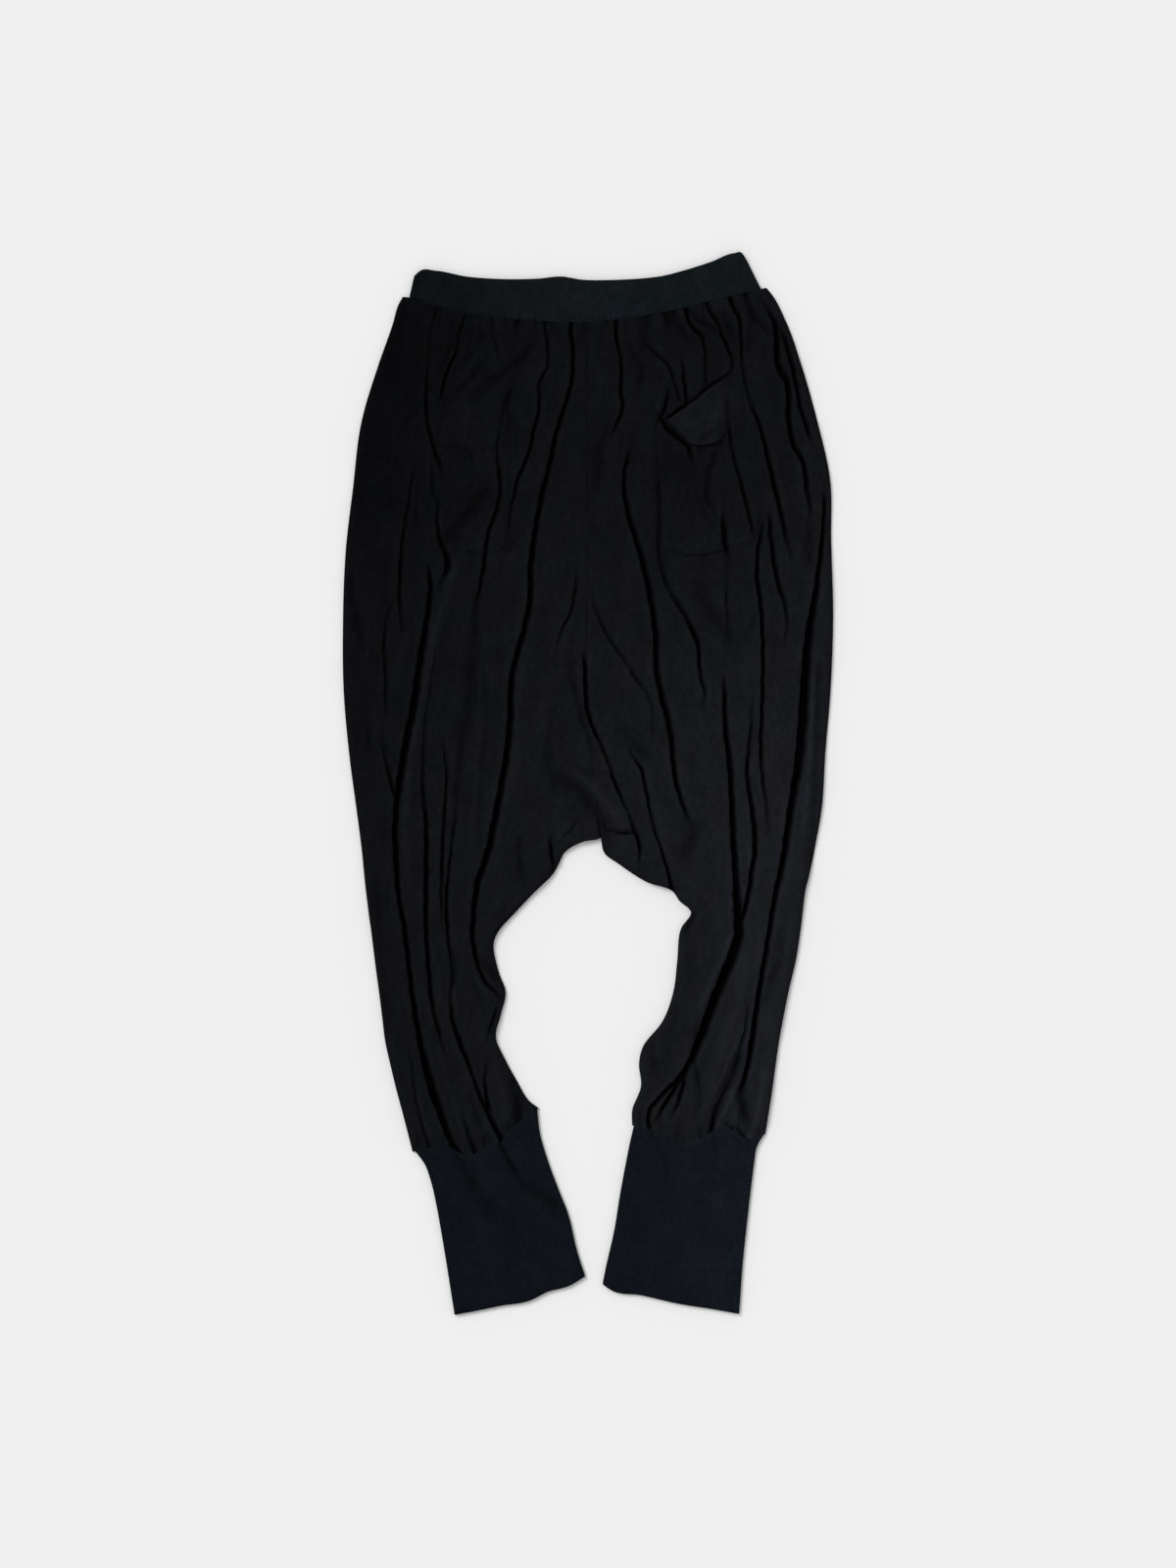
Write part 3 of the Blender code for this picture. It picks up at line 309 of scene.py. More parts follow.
# Soft troughs, and ridges where the depth is below 0
SOFT_FOLDS = [
    ("left waist beside", 2.6, 2.2, (-137, 446), (-146, 429), (-151, 414)),
    ("left waist slant", 2.6, 1.4, (-117, 464), (-122, 440), (-127, 425)),
    ("left waist slant long", 3.2, 1.6, (-103, 461), (-111, 449), (-121, 436), (-131, 420)),
    ("left drag low", 3.4, 1.8, (-100, 434), (-113, 420), (-123, 408), (-133, 398)),
    ("left drag high", (6.5, 4.0, 6.5), 2.0, (-56, 448), (-67, 434), (-84, 420), (-100, 408),
     (-117, 388)),
    ("left gather dark", 2.4, 3.4, (-72, 484), (-72, 463)),
    ("left gather small", 3.0, 1.8, (-36, 468), (-30, 461)),
    ("left pocket upright", 3.6, 1.5, (-75, 374), (-74, 355), (-73, 340)),
    ("left over pocket top", (3.0, 4.6, 3.0), 2.2, (-77, 400), (-83, 391), (-86, 378), (-88, 367)),
    ("left pocket wrinkle", 3.0, 1.6, (-148, 345), (-134, 342), (-118, 338)),
    ("left pocket wrinkle next", 2.0, 1.4, (-123, 342), (-117, 327)),
    ("left pocket crosswise", 6.0, 3.0, (-102, 300), (-112, 287), (-124, 271), (-136, 258), (-142, 244)),
    ("left pocket seam", 1.2, 1.8, (-148, 238), (-130, 238), (-112, 235)),
    ("right pocket seam", 1.2, 1.8, (84, 238), (96, 234), (118, 233), (134, 236)),
    ("right pocket hem", 4.0, -1.2, (88, 244), (104, 242), (120, 242), (133, 245)),
    ("right pocket hem end", 3.0, -1.2, (145, 249), (156, 248), (166, 252)),
    ("left below pocket end", 1.6, 1.6, (-72, 253), (-77, 243), (-83, 233)),
    ("left hip beside", 2.4, 1.8, (-172, 308), (-175, 282), (-176, 258)),
    ("left main ridge", (5.5, 4.0, 4.0), (-2.0, -4.2, -4.2, -4.2, -2.0), (-126, 238), (-138, 212),
     (-149, 175), (-160, 135), (-167, 95), (-172, 66), (-178, 38), (-182, 15), (-183, -8), (-186, -40),
     (-184, -75), (-180, -110)),
    ("left thigh trough", (4.0, 4.5, 7.0, 7.0, 5.0, 3.5, 3.0), (2.4, 2.4, 2.4, 2.2, 2.2, 2.4),
     (-112, 195), (-114, 165), (-116, 140), (-118, 115), (-119, 90), (-122, 70), (-127, 50), (-130, 25),
     (-133, -5), (-135, -20)),
    ("left leg small trough", 2.4, 1.4, (-131, 80), (-133, 67), (-136, 52)),
    ("left thigh thin", 2.4, 1.2, (-90, 165), (-89, 140), (-89, 112)),
    ("left thigh inner trough", 3.0, 1.6, (-106, 110), (-103, 78), (-103, 50), (-107, 20), (-109, -17),
     (-111, -42), (-108, -68)),
    ("left thigh inner ridge", 3.4, -1.4, (-113, 50), (-112, 15), (-115, -30), (-118, -60)),
    ("left leg small ridge", 2.2, -2.6, (-133, 44), (-135, 32), (-137, 18)),
    ("left inner ridge", 4.0, -1.6, (-70, 110), (-71, 70), (-73, 35), (-78, 5), (-84, -25)),
    ("left inseam trough", 3.4, (2.4, 3.0, 2.0), (-70, -58), (-69, -74), (-68, -90), (-63, -104)),
    ("left main end", 5.0, 2.6, (-106, -184), (-98, -191), (-92, -199)),
    ("left calf ridge", 3.0, -2.2, (-158, -165), (-153, -185), (-151, -205), (-150, -222)),
    ("left calf trough", 4.0, 3.4, (-138, -176), (-136, -188), (-137, -200)),
    ("left calf slant", 2.2, 1.8, (-117, -199), (-113, -211), (-108, -223), (-105, -234)),
    ("left outer edge", 4.0, 1.6, (-215, -95), (-213, -130), (-211, -170), (-208, -210), (-203, -250)),
    ("left outseam upper", 3.0, 2.2, (-242, 207), (-240, 190), (-235, 165), (-229, 140)),
    ("left outseam low", 2.8, 2.0, (-224, 58), (-223, 42), (-222, 26)),
    ("left outseam slant", 2.4, 1.4, (-209, 60), (-207, 45), (-203, 34)),
    ("left ankle trough", (4.6, 5.4), (2.4, 3.6, 4.2), (-77, -296), (-74, -312), (-71, -326),
     (-70, -340)),
    ("left ankle outer ridge", 3.4, -2.4, (-173, -312), (-169, -332), (-163, -354)),
    ("left ankle middle ridge", 3.0, -2.4, (-137, -318), (-131, -340), (-126, -358)),
    ("left ankle inner dark", 3.0, 2.2, (-120, -318), (-114, -334), (-108, -350)),
    ("left ankle ridge", 3.4, (-1.6, -2.2, -2.0), (-96, -277), (-91, -296), (-86, -314), (-80, -335)),
    ("crotch pucker left", (3.4, 4.4), (1.4, 2.0, 3.0), (-32, 82), (-38, 60), (-39, 35), (-38, 12),
     (-33, -2)),
    ("crotch pucker", (7.0, 7.0, 6.0, 5.0), (2.8, 3.4, 3.4, 3.0, 2.8), (-36, 8), (-24, 2), (-10, -5),
     (-2, -15), (8, -28), (15, -39), (19, -52), (18, -64)),
    ("crotch ridge", 4.2, (-2.0, -3.0, -2.6), (-14, 14), (-3, 4), (10, -7), (20, -19), (29, -33),
     (32, -43)),
    ("crotch crosswise", 3.0, 1.8, (-9, 14), (0, 10), (14, 10)),
    ("crotch left trough", 3.0, (2.4, 3.2, 2.6), (-17, 112), (-13, 95), (-9, 80), (-5, 65), (0, 50),
     (3, 40)),
    ("crotch left faint", 3.0, 1.8, (-15, 152), (-17, 130), (-18, 108)),
    ("right waist dip", 5.0, 2.2, (60, 474), (57, 458), (58, 444)),
    ("right waist curl", 3.4, 2.0, (39, 456), (44, 441), (52, 430), (56, 418), (52, 404), (49, 394)),
    ("right waist patch", 4.5, 3.0, (77, 485), (82, 474), (82, 464)),
    ("right waist slant", 3.6, 2.2, (90, 474), (94, 462), (104, 454)),
    ("right waist bridge", 3.0, 2.6, (106, 479), (115, 471), (125, 466), (133, 459)),
    ("right waist dark", 4.5, 2.6, (141, 474), (145, 464), (147, 456)),
    ("right waist outer", 3.0, (3.8, 3.4, 2.6), (156, 504), (162, 495), (165, 484), (169, 475),
     (176, 469), (183, 461)),
    ("right waist upright", 3.2, 2.0, (168, 474), (166, 456), (163, 438)),
    ("right waist foot", 5.0, 2.0, (20, 356), (14, 345), (12, 325), (11, 302)),
    ("right pocket hollow", 3.0, 2.8, (133, 342), (127, 330), (123, 312), (121, 300), (123, 290),
     (128, 280)),
    ("right below pocket", 4.6, 2.0, (142, 232), (143, 216), (141, 200)),
    ("right pocket slant", 2.4, 1.8, (118, 280), (122, 270), (130, 257)),
    ("right pocket side", 2.0, (0.8, 1.2, 2.0, 3.0, 4.0), (68, 392), (68, 375), (70, 345), (72, 311),
     (73, 280), (72, 250)),
    ("right pocket mouth end", 1.8, -3.0, (74, 399), (71, 387), (69, 376)),
    ("right pocket middle", 3.0, 1.6, (120, 426), (120, 404)),
    ("right flap side", 3.4, 2.4, (146, 405), (144, 396), (143, 385)),
    ("right pocket crumple", 7.0, 2.6, (112, 198), (124, 178), (136, 162), (148, 145)),
    ("right thigh patch", 6.0, 2.4, (38, 52), (50, 38), (63, 23)),
    ("right thigh dark", 4.0, 1.6, (172, 175), (168, 160), (166, 146)),
    ("right hip trough", 5.0, 2.2, (224, 262), (226, 240), (226, 222)),
    ("right edge trough", 3.6, 2.0, (236, 118), (235, 80), (234, 45), (232, 5), (230, -40), (227, -80)),
    ("right edge ridge", 3.0, -1.8, (230, 110), (228, 60), (225, 10), (221, -30), (216, -70)),
    ("right thigh foot", 6.5, (2.0, 3.2, 3.4), (104, -38), (109, -50), (106, -62), (100, -70)),
    ("right sweep ridge", 3.0, -2.2, (147, -125), (146, -150), (140, -170), (128, -195), (117, -220),
     (107, -243)),
    ("right calf ridge", 8.0, -1.6, (165, -133), (163, -172), (160, -195), (151, -225), (141, -260),
     (133, -283), (125, -317)),
    ("right calf notch", 3.0, 3.6, (109, -133), (104, -140), (101, -149)),
    ("right calf trough", 4.5, 2.0, (197, -150), (193, -185), (185, -205), (181, -225)),
    ("right calf edge", 4.0, 1.8, (65, -272), (67, -282), (69, -292)),
    ("right ankle trough", (1.8, 2.0, 2.6), (2.4, 3.2, 2.4), (112, -245), (109, -262), (108, -278),
     (110, -292), (113, -305), (114, -320), (112, -334)),
    ("right ankle hollow", 5.0, 3.4, (155, -275), (149, -292), (143, -306)),
    ("right ankle strip", 5.0, 3.0, (154, -272), (148, -290), (140, -308), (134, -324), (130, -340)),
    ("right ankle strip edge", 2.4, -2.8, (151, -266), (145, -281), (138, -297), (130, -313)),
    ("right ankle thin ridge", 1.8, -2.8, (148, -311), (143, -325), (139, -340)),
    ("right ankle ridge", 2.6, -3.8, (155, -300), (148, -317), (141, -330), (136, -340)),
    ("right ankle dark", 5.0, (5.0, 4.6, 4.0), (156, -306), (157, -322), (160, -336), (163, -345)),
    ("right ankle light", 3.6, -2.2, (181, -298), (176, -320), (170, -342), (166, -358)),
]
FLAP_FOLDS = [
    ("flap wrinkle", 2.6, 2.0, (117, 353), (124, 357), (132, 362)),
    ("flap bulge", 6.0, -1.4, (100, 366), (112, 367), (124, 370), (134, 378)),
    ("flap rim", 1.6, -0.8, (104, 348), (113, 347), (123, 348), (131, 351)),
    ("flap edge", 1.4, -2.4, (86, 374), (103, 384), (121, 398), (131, 405)),
    ("flap merging", 2.6, 2.4, (142, 390), (143, 372), (144, 354)),
]
# The hidden side, which lies on the floor
UNDER_FOLDS = [
    ("under left outer", (2.0, 3.8, 5.2, 4.0, 2.2), (2, 5, 7, 5, 2.4), (-186, 330), (-197, 262),
     (-206, 170), (-204, 70), (-214, -20), (-206, -90), (-192, -160), (-187, -235)),
    ("under left waist", (1.6, 2.4, 1.8), (3, 3.8, 1.2), (-140, 486), (-147, 430), (-160, 372),
     (-162, 318)),
    ("under left middle", (2.4, 3.2, 4.6, 3.2, 1.6), (4, 5.4, 7, 4.4, 1.2), (-98, 488), (-94, 430),
     (-108, 352), (-130, 268), (-128, 196), (-143, 110), (-146, 40)),
    ("under left leg", (1.4, 3.6, 5.4, 5.0, 4.0), (1.6, 5, 7.4, 7, 4.6), (-163, 84), (-158, 20),
     (-166, -60), (-160, -140), (-163, -215), (-147, -290), (-126, -352)),
    ("under left inner", (2.6, 2.0, 3.4, 1.8), (5, 3, 4.4, 1.4), (-36, 482), (-46, 436), (-42, 380),
     (-60, 300), (-62, 236), (-78, 170)),
    ("under left thigh", (1.6, 3.2, 4.2, 2.6), (1.4, 4.4, 6, 2), (-64, 190), (-84, 110), (-88, 40),
     (-107, -36), (-113, -108), (-124, -160)),
    ("under left short", (1.4, 2.4, 1.6), (1.4, 3.6, 1.4), (-182, 236), (-178, 190), (-187, 130),
     (-184, 84)),
    ("under left knee", (1.6, 3.0, 2.4), (1.6, 4.6, 3.4), (-134, -196), (-121, -246), (-112, -282),
     (-90, -330)),
    ("under left ankle", (1.6, 2.6), (1.6, 4.4), (-178, -262), (-172, -310), (-162, -356)),
    ("under crotch left", (1.6, 2.6, 1.6), (1.4, 3.6, 1.6), (-16, 158), (-14, 110), (-32, 52), (-34, 0)),
    ("under right hip", (2.0, 3.8, 4.4, 3.6, 1.8), (2.4, 6, 6.4, 5, 1.6), (170, 474), (176, 420),
     (195, 352), (200, 290), (215, 214), (219, 150)),
    ("under right outer", (1.8, 4.4, 5.6, 5.0, 3.2), (1.6, 6, 7.6, 7, 3.4), (204, 206), (206, 120),
     (218, 30), (209, -50), (206, -140), (190, -228), (184, -300), (173, -346)),
    ("under right middle", (2.4, 3.0, 4.0, 4.4, 2.6, 1.4), (3.4, 4.4, 6, 6.4, 4, 1.2), (112, 478),
     (108, 424), (126, 350), (141, 262), (140, 190), (156, 100), (150, 10)),
    ("under right leg", (1.4, 3.4, 4.4, 4.8, 3.4), (1.4, 4.4, 6.4, 7, 4.4), (172, 66), (163, -24),
     (167, -102), (150, -178), (145, -240), (122, -296), (108, -346)),
    ("under right inner", (1.8, 2.6, 3.6, 1.6), (2.2, 4, 5, 1.4), (30, 502), (42, 440), (40, 376),
     (61, 296), (66, 228), (84, 160)),
    ("under right thigh", (1.4, 3.0, 3.8, 2.2), (1.4, 4, 5.4, 1.6), (70, 150), (91, 70), (94, 0),
     (112, -70), (118, -118)),
    ("under right short", (1.6, 2.6, 1.4), (1.6, 4, 1.2), (184, 150), (190, 88), (185, 40), (188, -14)),
    ("under right knee", (1.8, 2.8, 2.2), (1.8, 4.4, 3), (178, -176), (169, -226), (152, -272),
     (148, -322)),
    ("under crotch right", (1.4, 2.4, 1.6), (1.4, 3.6, 1.8), (14, 196), (20, 130), (42, 70), (46, 20)),
]
UNDER_SOFT_FOLDS = [
    ("under left waist dip", 6.0, 3.0, (-120, 420), (-134, 370), (-130, 320)),
    ("under left thigh dip", 7.0, 3.0, (-68, 120), (-74, 60), (-66, 10)),
    ("under left centre dip", 6.0, 2.6, (-30, 262), (-24, 196), (-34, 128)),
    ("under left calf dip", 5.0, 3.0, (-140, -60), (-146, -120), (-138, -180)),
    ("under right waist dip", 6.0, 3.0, (150, 420), (158, 360), (152, 300)),
    ("under right thigh dip", 7.0, 3.4, (90, 262), (98, 190), (92, 130)),
    ("under right centre dip", 8.0, 3.0, (40, 140), (60, 70), (62, 0)),
    ("under right calf dip", 5.0, 3.0, (196, -100), (188, -170), (180, -230)),
]
UNDER_FOLD_SHARE, UNDER_ROOM_SHARE = 0.4, 0.6  # height of those folds, and of the room that they may fill
# The cuffs; what starts above a seam comes out of it at full depth
CUFF_CREASES = [
    ("seam crease", (1.8, 2.0, 2.4, 4.0, 6.0), (4.4, 4.4, 3.6, 2.2, 1.0), (-99, -344), (-93, -358),
     (-82, -382), (-74, -395), (-63, -411), (-54, -420)),
    ("seam crease beside", 5.0, 1.4, (-78, -392), (-66, -408), (-54, -418)),
    ("seam crease short", 4.0, 1.6, (-135, -376), (-128, -388), (-118, -404)),
    ("cuff slant", (8.0, 11.0, 9.0), (1.8, 1.5, 0.8), (-122, -398), (-104, -428), (-84, -448),
     (-60, -476), (-30, -500)),
    ("cuff side", 7.0, 2.6, (-58, -414), (-45, -421), (-32, -431)),
    ("cuff ridge", 5.0, -1.6, (-140, -372), (-130, -400), (-112, -432), (-92, -456)),
    ("cuff ridge beside", 5.0, -1.6, (-72, -352), (-60, -380), (-50, -396)),
    ("right seam crease", (1.4, 1.4, 2.0), (4.4, 4.0, 1.4), (56, -334), (62, -350), (66, -360),
     (69, -367)),
    ("right seam crease short", 1.4, (2.4, 2.0, 1.0), (124, -332), (126, -346), (127, -352)),
    ("right seam crease outer", 1.4, (3.0, 3.0, 1.0), (149, -336), (153, -349), (157, -357)),
]

# Gathers sewn into the seams
Gathers = namedtuple("Gathers", "count width depth long short sway")
WAIST_GATHERS = Gathers(count=29, width=1.2, depth=1.0, long=34.0, short=8.0, sway=4.0)
CUFF_GATHERS = Gathers(count=11, width=1.3, depth=1.2, long=36.0, short=12.0, sway=3.0)
# painted shade in the gathers' troughs
GATHER_PAINTED_SHADE = 0.45
GATHER_SLANT = 0.05
GATHER_PAST = 0.5  # a gather runs on past the seam by this share of its length
GATHER_LEAST = 0.55  # share of full depth that the shallowest gather has
GATHER_TURNS = (2.4, 4.1, 1.7)  # steps of the waves that make sway, length and depth uneven

# Slow unevenness of the lofted cloth: height, wavelength across and along, and turn
Swell = namedtuple("Swell", "height across along turn")
SWELLS = [
    Swell(0.50, 33.0, 250.0, 0.4),
    Swell(0.38, 51.0, 170.0, 1.9),
    Swell(0.26, 17.0, 120.0, 3.1),
    Swell(0.16, 10.0, 76.0, 5.0),
]
SWELL_SWAY = 0.35

# How finely the pieces are divided
ROW_STEP, COLUMNS = 2.4, 174
UNDER_STEP, UNDER_COLUMNS = 5.0, 112
COLUMN_SMOOTHING = 36
ACROSS_SAMPLES = 700
# How strongly and how widely walls, banks, gathers, edges and the centre seam draw the columns together
WALL_PULL, WALL_OFF, WALL_NEAR = 7.0, 0.4, 2.0
BANK_PULL, BANK_NEAR = 2.0, 2.0
FULL_PULL_DEPTH = 3.0
GATHER_PULL, GATHER_NEAR = 1.6, 2.4
EDGE_PULL, CENTRE_NEAR = 1.6, 4.0
WAIST_HOLD, CUFF_HOLD = 6, 8  # powers by which rows near a seam follow its line
SHARP_ANGLE = 68.0

# Pockets, as four edges each; the top edge runs from left to right
POCKET_SHELL, POCKET_HEM_SHELL, HEM_STEP = 0.55, 1.2, 1.6
POCKET_LIFT = 0.15
POCKET_EDGE, POCKET_EDGE_RUN = 0.45, 3.0  # share of its thickness that a pocket keeps at its pressed edge
POCKET_PAD, POCKET_PAD_RUN = 0.35, 2.0
SEAM_PAD, SEAM_PAD_OFF, SEAM_PAD_WIDTH = 0.3, 5.2, 1.5  # ridge over the cloth turned in at the edges
POCKET_BRIDGE = 0.82  # share of the panel's relief that the pocket cloth follows
# share of the panel's painted fold shade that the pocket cloth keeps
POCKET_PAINTED_SHADE = 0.9
POCKET_FAR = 60.0  # a pocket lies this far or more from the panel's edges
POCKET_ROW_STEP, POCKET_COLUMN_STEP = 1.92, 0.72
Pocket = namedtuple("Pocket", "top foot left right hem")
LEFT_POCKET = Pocket(
    top=[(-165, 399), (-140, 401), (-110, 400), (-82, 397)],
    foot=[(-160, 238), (-152, 235.5), (-125, 235), (-98, 235), (-86, 240)],
    left=[(-165, 399), (-166, 330), (-166, 254), (-164, 244), (-160, 238)],
    right=[(-82, 397), (-80, 320), (-81, 254), (-83, 245), (-86, 240)],
    hem=34.0,
)
RIGHT_POCKET = Pocket(
    top=[(70, 400), (76, 386), (82, 374), (100, 386), (122, 402), (145, 417), (168, 413)],
    foot=[(82, 239), (92, 234), (110, 232), (132, 235), (142, 241), (158, 243), (168, 247)],
    left=[(70, 400), (73, 300), (76, 252), (78, 243), (82, 239)],
    right=[(168, 413), (172, 340), (174, 262), (172, 252), (168, 247)],
    hem=0.0,
)

# The right pocket's turned corner, from its fold line to its free edge
FLAP_FOLD = [(81, 371), (93, 379), (103, 385), (111, 391), (121, 399), (130, 406), (141, 413), (150, 415)]
FLAP_FREE = [
    (81, 370), (87, 364), (97, 355), (104, 347), (113, 345), (123, 346), (132, 349), (139, 356), (146, 366),
]
FLAP_ROWS, FLAP_COLUMNS = 34, 56
FLAP_SHELL, FLAP_FOLD_SHELL, FLAP_FOLD_RUN = 1.2, 0.6, 0.2  # thinner at the fold line
FLAP_BRIDGE, FLAP_CLEAR = 0.5, 0.5
FLAP_RISE, FLAP_FOLD_RISE, FLAP_START = 3.6, 0.55, 0.12
FLAP_BELLY, FLAP_RIDGES, FLAP_TROUGHS = 0.7, 0.4, 0.3
FLAP_MERGE, FLAP_MERGED_LOSS = 0.62, 0.8  # where the flap starts to run into the pocket, and thins

# Stitching
STITCH_LONG, STITCH_GAP, STITCH_THICK, STITCH_LIFT = 2.6, 1.0, 0.42, 0.08
STITCH_SIDES = 6
STITCH_RINGS = ((-0.5, 0.35), (-0.25, 1.0), (0.25, 1.0), (0.5, 0.35))  # (place, thickness) as shares
STITCH_INSET, HEM_INSET = 2.6, 2.5
STITCH_TONE = 1.05

# Rib tubes
RIB_PITCH, RIB_RELIEF, RIB_POINTS, RIB_POWER = 2.1, 0.32, 5, 0.8
TUBE_WALL, TUBE_CLEAR = 1.3, 0.05
CREASE_MOST = 1.9  # a crease goes no deeper, so that it stays above the tube's lower wall
BAND_HEIGHT, CUFF_HEIGHT = 5.2, 4.8
BAND_PINCHES, CUFF_PINCHES = (0.9, 0.97), (0.97, 0.92)  # share of its height kept at a tube's top and foot
PINCH_RUN, PINCH_LIFT = 6.0, 0.25
END_INSET, END_PUSH, END_RELIEF = 0.3, 0.2, 0.4  # how a tube's end turns in
TUBE_STEP, BAND_ROWS, INSIDE_SKIP = 6.0, 11, 3
TUBE_HOLD = 3  # power by which rows near a tube's end follow its seam
SEAM_PAINTED_LIGHT, SEAM_PAINTED_LIGHT_WIDTH = 0.30, 2.6  # painted light: the seams are painted a little lighter in dashes
SEAM_DASH, DASH_SWAY, DASH_SWAY_LONG, DASH_FADE_LONG = 7.0, 3, 19.0, 31.0

# ---------------------------------------------------------------- colours and light
CLOTH_COLOUR = (0.0089, 0.0095, 0.0115)
BAND_COLOUR = (0.0075, 0.0102, 0.0121)
CUFF_COLOUR = (0.0070, 0.0090, 0.0125)
WARM, COOL = (1.03, 1.0, 0.95), (0.97, 1.0, 1.06)
ROUGHNESS, SPECULAR = 0.95, 0.01
SHEEN, SHEEN_ROUGHNESS, SHEEN_TINT = 0.0015, 0.6, (0.8, 0.85, 1.0, 1.0)
# Noise: its size across and along, and its detail
HUE_PATCH = (38.0, 52.0, 2.0)
PATCHES, MOTTLES = (24.0, 34.0, 4.0), (5.5, 6.5, 2.0)
GRAIN_CHANGES = (0.12, 0.12, 0.06, 0.16)  # how far patches, mottles, streaks and crepe change the shade
NOISE_LOW, NOISE_HIGH = 0.3, 0.7
JERSEY = ((2.6, 14.0, 3.0), (0.9, 1.8, 2.0), (0.35, 0.16))  # streaks, crepe, and the height of both
KNIT = ((2.1, 20.0, 3.0), (0.8, 1.4, 2.0), (0.12, 0.12))
STITCH_ROW_SCALE = 11.36818  # a wave texture's scale, for rows of stitches 2.8 mm apart
STITCH_ROW_HEIGHT, STITCH_ROW_STRENGTH = 0.12, 0.6
FLOOR_COLOUR, FLOOR_HALF = 0.871, 3.0
WORLD_LIGHT, SUN_LIGHT = 0.60, 0.40  # shares of the light that a flat surface gets
SUN_ANGLE, SUN_TILT, SUN_FROM = 28.0, 42.0, 140.0
CAMERA_HEIGHT, CAMERA_LENS, CAMERA_REACH = 4.0, 90.0, 50.0

# Where the cloth is darker or lighter than its mean: middle, reach and change
Tone = namedtuple("Tone", "x y reach_x reach_y change")
TONES = [
    Tone(-190, 420, 60, 90, -0.10),
    Tone(100, 220, 90, 90, -0.10),
    Tone(190, 380, 70, 90, -0.10),
    Tone(120, 440, 60, 40, -0.08),
    Tone(95, 330, 40, 50, -0.08),
    Tone(-122, 372, 30, 22, 0.08),
    Tone(-125, 290, 30, 30, -0.05),
    Tone(150, 290, 120, 110, -0.12),
    Tone(-175, 275, 50, 60, -0.05),
    Tone(75, -230, 40, 110, -0.14),
    Tone(195, -250, 40, 100, 0.14),
    Tone(-240, 295, 35, 70, -0.08),
    Tone(-165, 80, 35, 170, -0.04),
    Tone(215, 120, 50, 100, -0.09),
    Tone(-10, 330, 70, 60, -0.05),
    Tone(130, 370, 40, 30, 0.06),
    Tone(155, 395, 22, 28, 0.09),
    Tone(130, -230, 30, 50, -0.08),
    Tone(165, -335, 40, 40, 0.10),
    Tone(-75, -355, 25, 25, 0.08),
]
# The knit's tone from left to right: (x, tone), painted light and shade, darker at the left and lighter
# towards the right as on the body
BAND_TONES = [(-182, 0.52), (-140, 0.68), (-110, 0.71), (-80, 0.85), (-50, 0.90), (-20, 0.91), (10, 1.0),
              (40, 1.0), (70, 0.89), (100, 0.98), (130, 0.90), (176, 0.88)]
LEFT_CUFF_TONES = [(-180, 0.69), (-140, 0.74), (-112, 0.81), (-70, 0.81), (-5, 0.84)]
RIGHT_CUFF_TONES = [(10, 0.81), (60, 0.88), (85, 0.97), (115, 1.03), (150, 1.11), (182, 1.2)]
# painted shade in the furrows between the ribs
RIB_PAINTED_SHADE = 0.16
# painted light: a gradient lighter towards the right and the legs
PAINTED_LIGHT_TOP, PAINTED_LIGHT_LENGTH, PAINTED_LIGHT_HALF = 450.0, 500.0, 225.0
PAINTED_LIGHT_LEAST, PAINTED_LIGHT_LEGS, PAINTED_LIGHT_RIGHT, PAINTED_LIGHT_BOTH = 0.36, 0.20, 0.33, 0.34
FLAP_PAINTED_LIGHT = 0.32  # painted highlight: how much lighter the turned flap is painted
PAINTED_FOLD_FLOOR, LIGHTEST_DARK = 0.06, -0.5  # painted shade: share of the colour left on a deep fold's floor, and the lowest darkness in use
CUT_WIDTH, CUT_APART, CUT_SCALE = 250.0, 3000.0, 100.0  # the cut map is in tenths of a metre


# ---------------------------------------------------------------- curves
def smooth_curve(knots, values, at):
    """Smooth curve through (knots, values), with knots rising, read at the numbers in at."""
    knots = np.asarray(knots, float)
    values = np.asarray(values, float)
    at = np.clip(np.asarray(at, float), knots[0], knots[-1])
    if len(knots) == 2:
        return np.interp(at, knots, values)
    slopes = np.gradient(values, knots)
    first = np.clip(np.searchsorted(knots, at, side="right") - 1, 0, len(knots) - 2)
    span = knots[first + 1] - knots[first]
    t = (at - knots[first]) / span
    start = (1 + 2 * t) * (1 - t) ** 2 * values[first] + t * (1 - t) ** 2 * span * slopes[first]
    end = t * t * (3 - 2 * t) * values[first + 1] - t * t * (1 - t) * span * slopes[first + 1]
    return start + end


def line_y(line, x):
    return smooth_curve(*zip(*line), x)


def run_lengths(points):
    """Distance along a line at each of its points."""
    return np.concatenate([[0.0], np.cumsum(np.linalg.norm(np.diff(points, axis=0), axis=1))])


def smooth_line(steps, points, at):
    """Smooth line through points that lie at steps along it, read at the lengths in at."""
    return np.stack([smooth_curve(steps, column, at) for column in points.T], axis=-1)


def ease(t):
    t = np.clip(t, 0.0, 1.0)
    return t * t * (3 - 2 * t)


def roll(distance, width):
    return np.sqrt(1 - (1 - np.clip(distance / width, 0, 1)) ** 2)


def bell(distance, width):
    return np.exp(-((distance / width) ** 2))


def wave(at, long, turn=0.0):
    return np.sin(2 * math.pi * at / long + turn)


def lowest_near(z, axis):
    """The lowest of each point and its two neighbours along an axis."""
    return np.minimum(np.minimum(z, np.roll(z, 1, axis=axis)), np.roll(z, -1, axis=axis))


# ---------------------------------------------------------------- courses of folds
Track = namedtuple("Track", "places ahead aside step widths depths")
Gather = namedtuple("Gather", "x y length share width depth")


def meets_seam(point, seam, above):
    x, y = point
    if not seam[0][0] <= x <= seam[-1][0]:
        return False
    gap = float(line_y(seam, x)) - y
    return (gap if above else -gap) < SEAM_REACH


def spread_along(values, share):
    """Values that are spread evenly over a course, read at shares of its length."""
    values = np.atleast_1d(values)
    return np.interp(share, np.linspace(0, 1, len(values)), values)


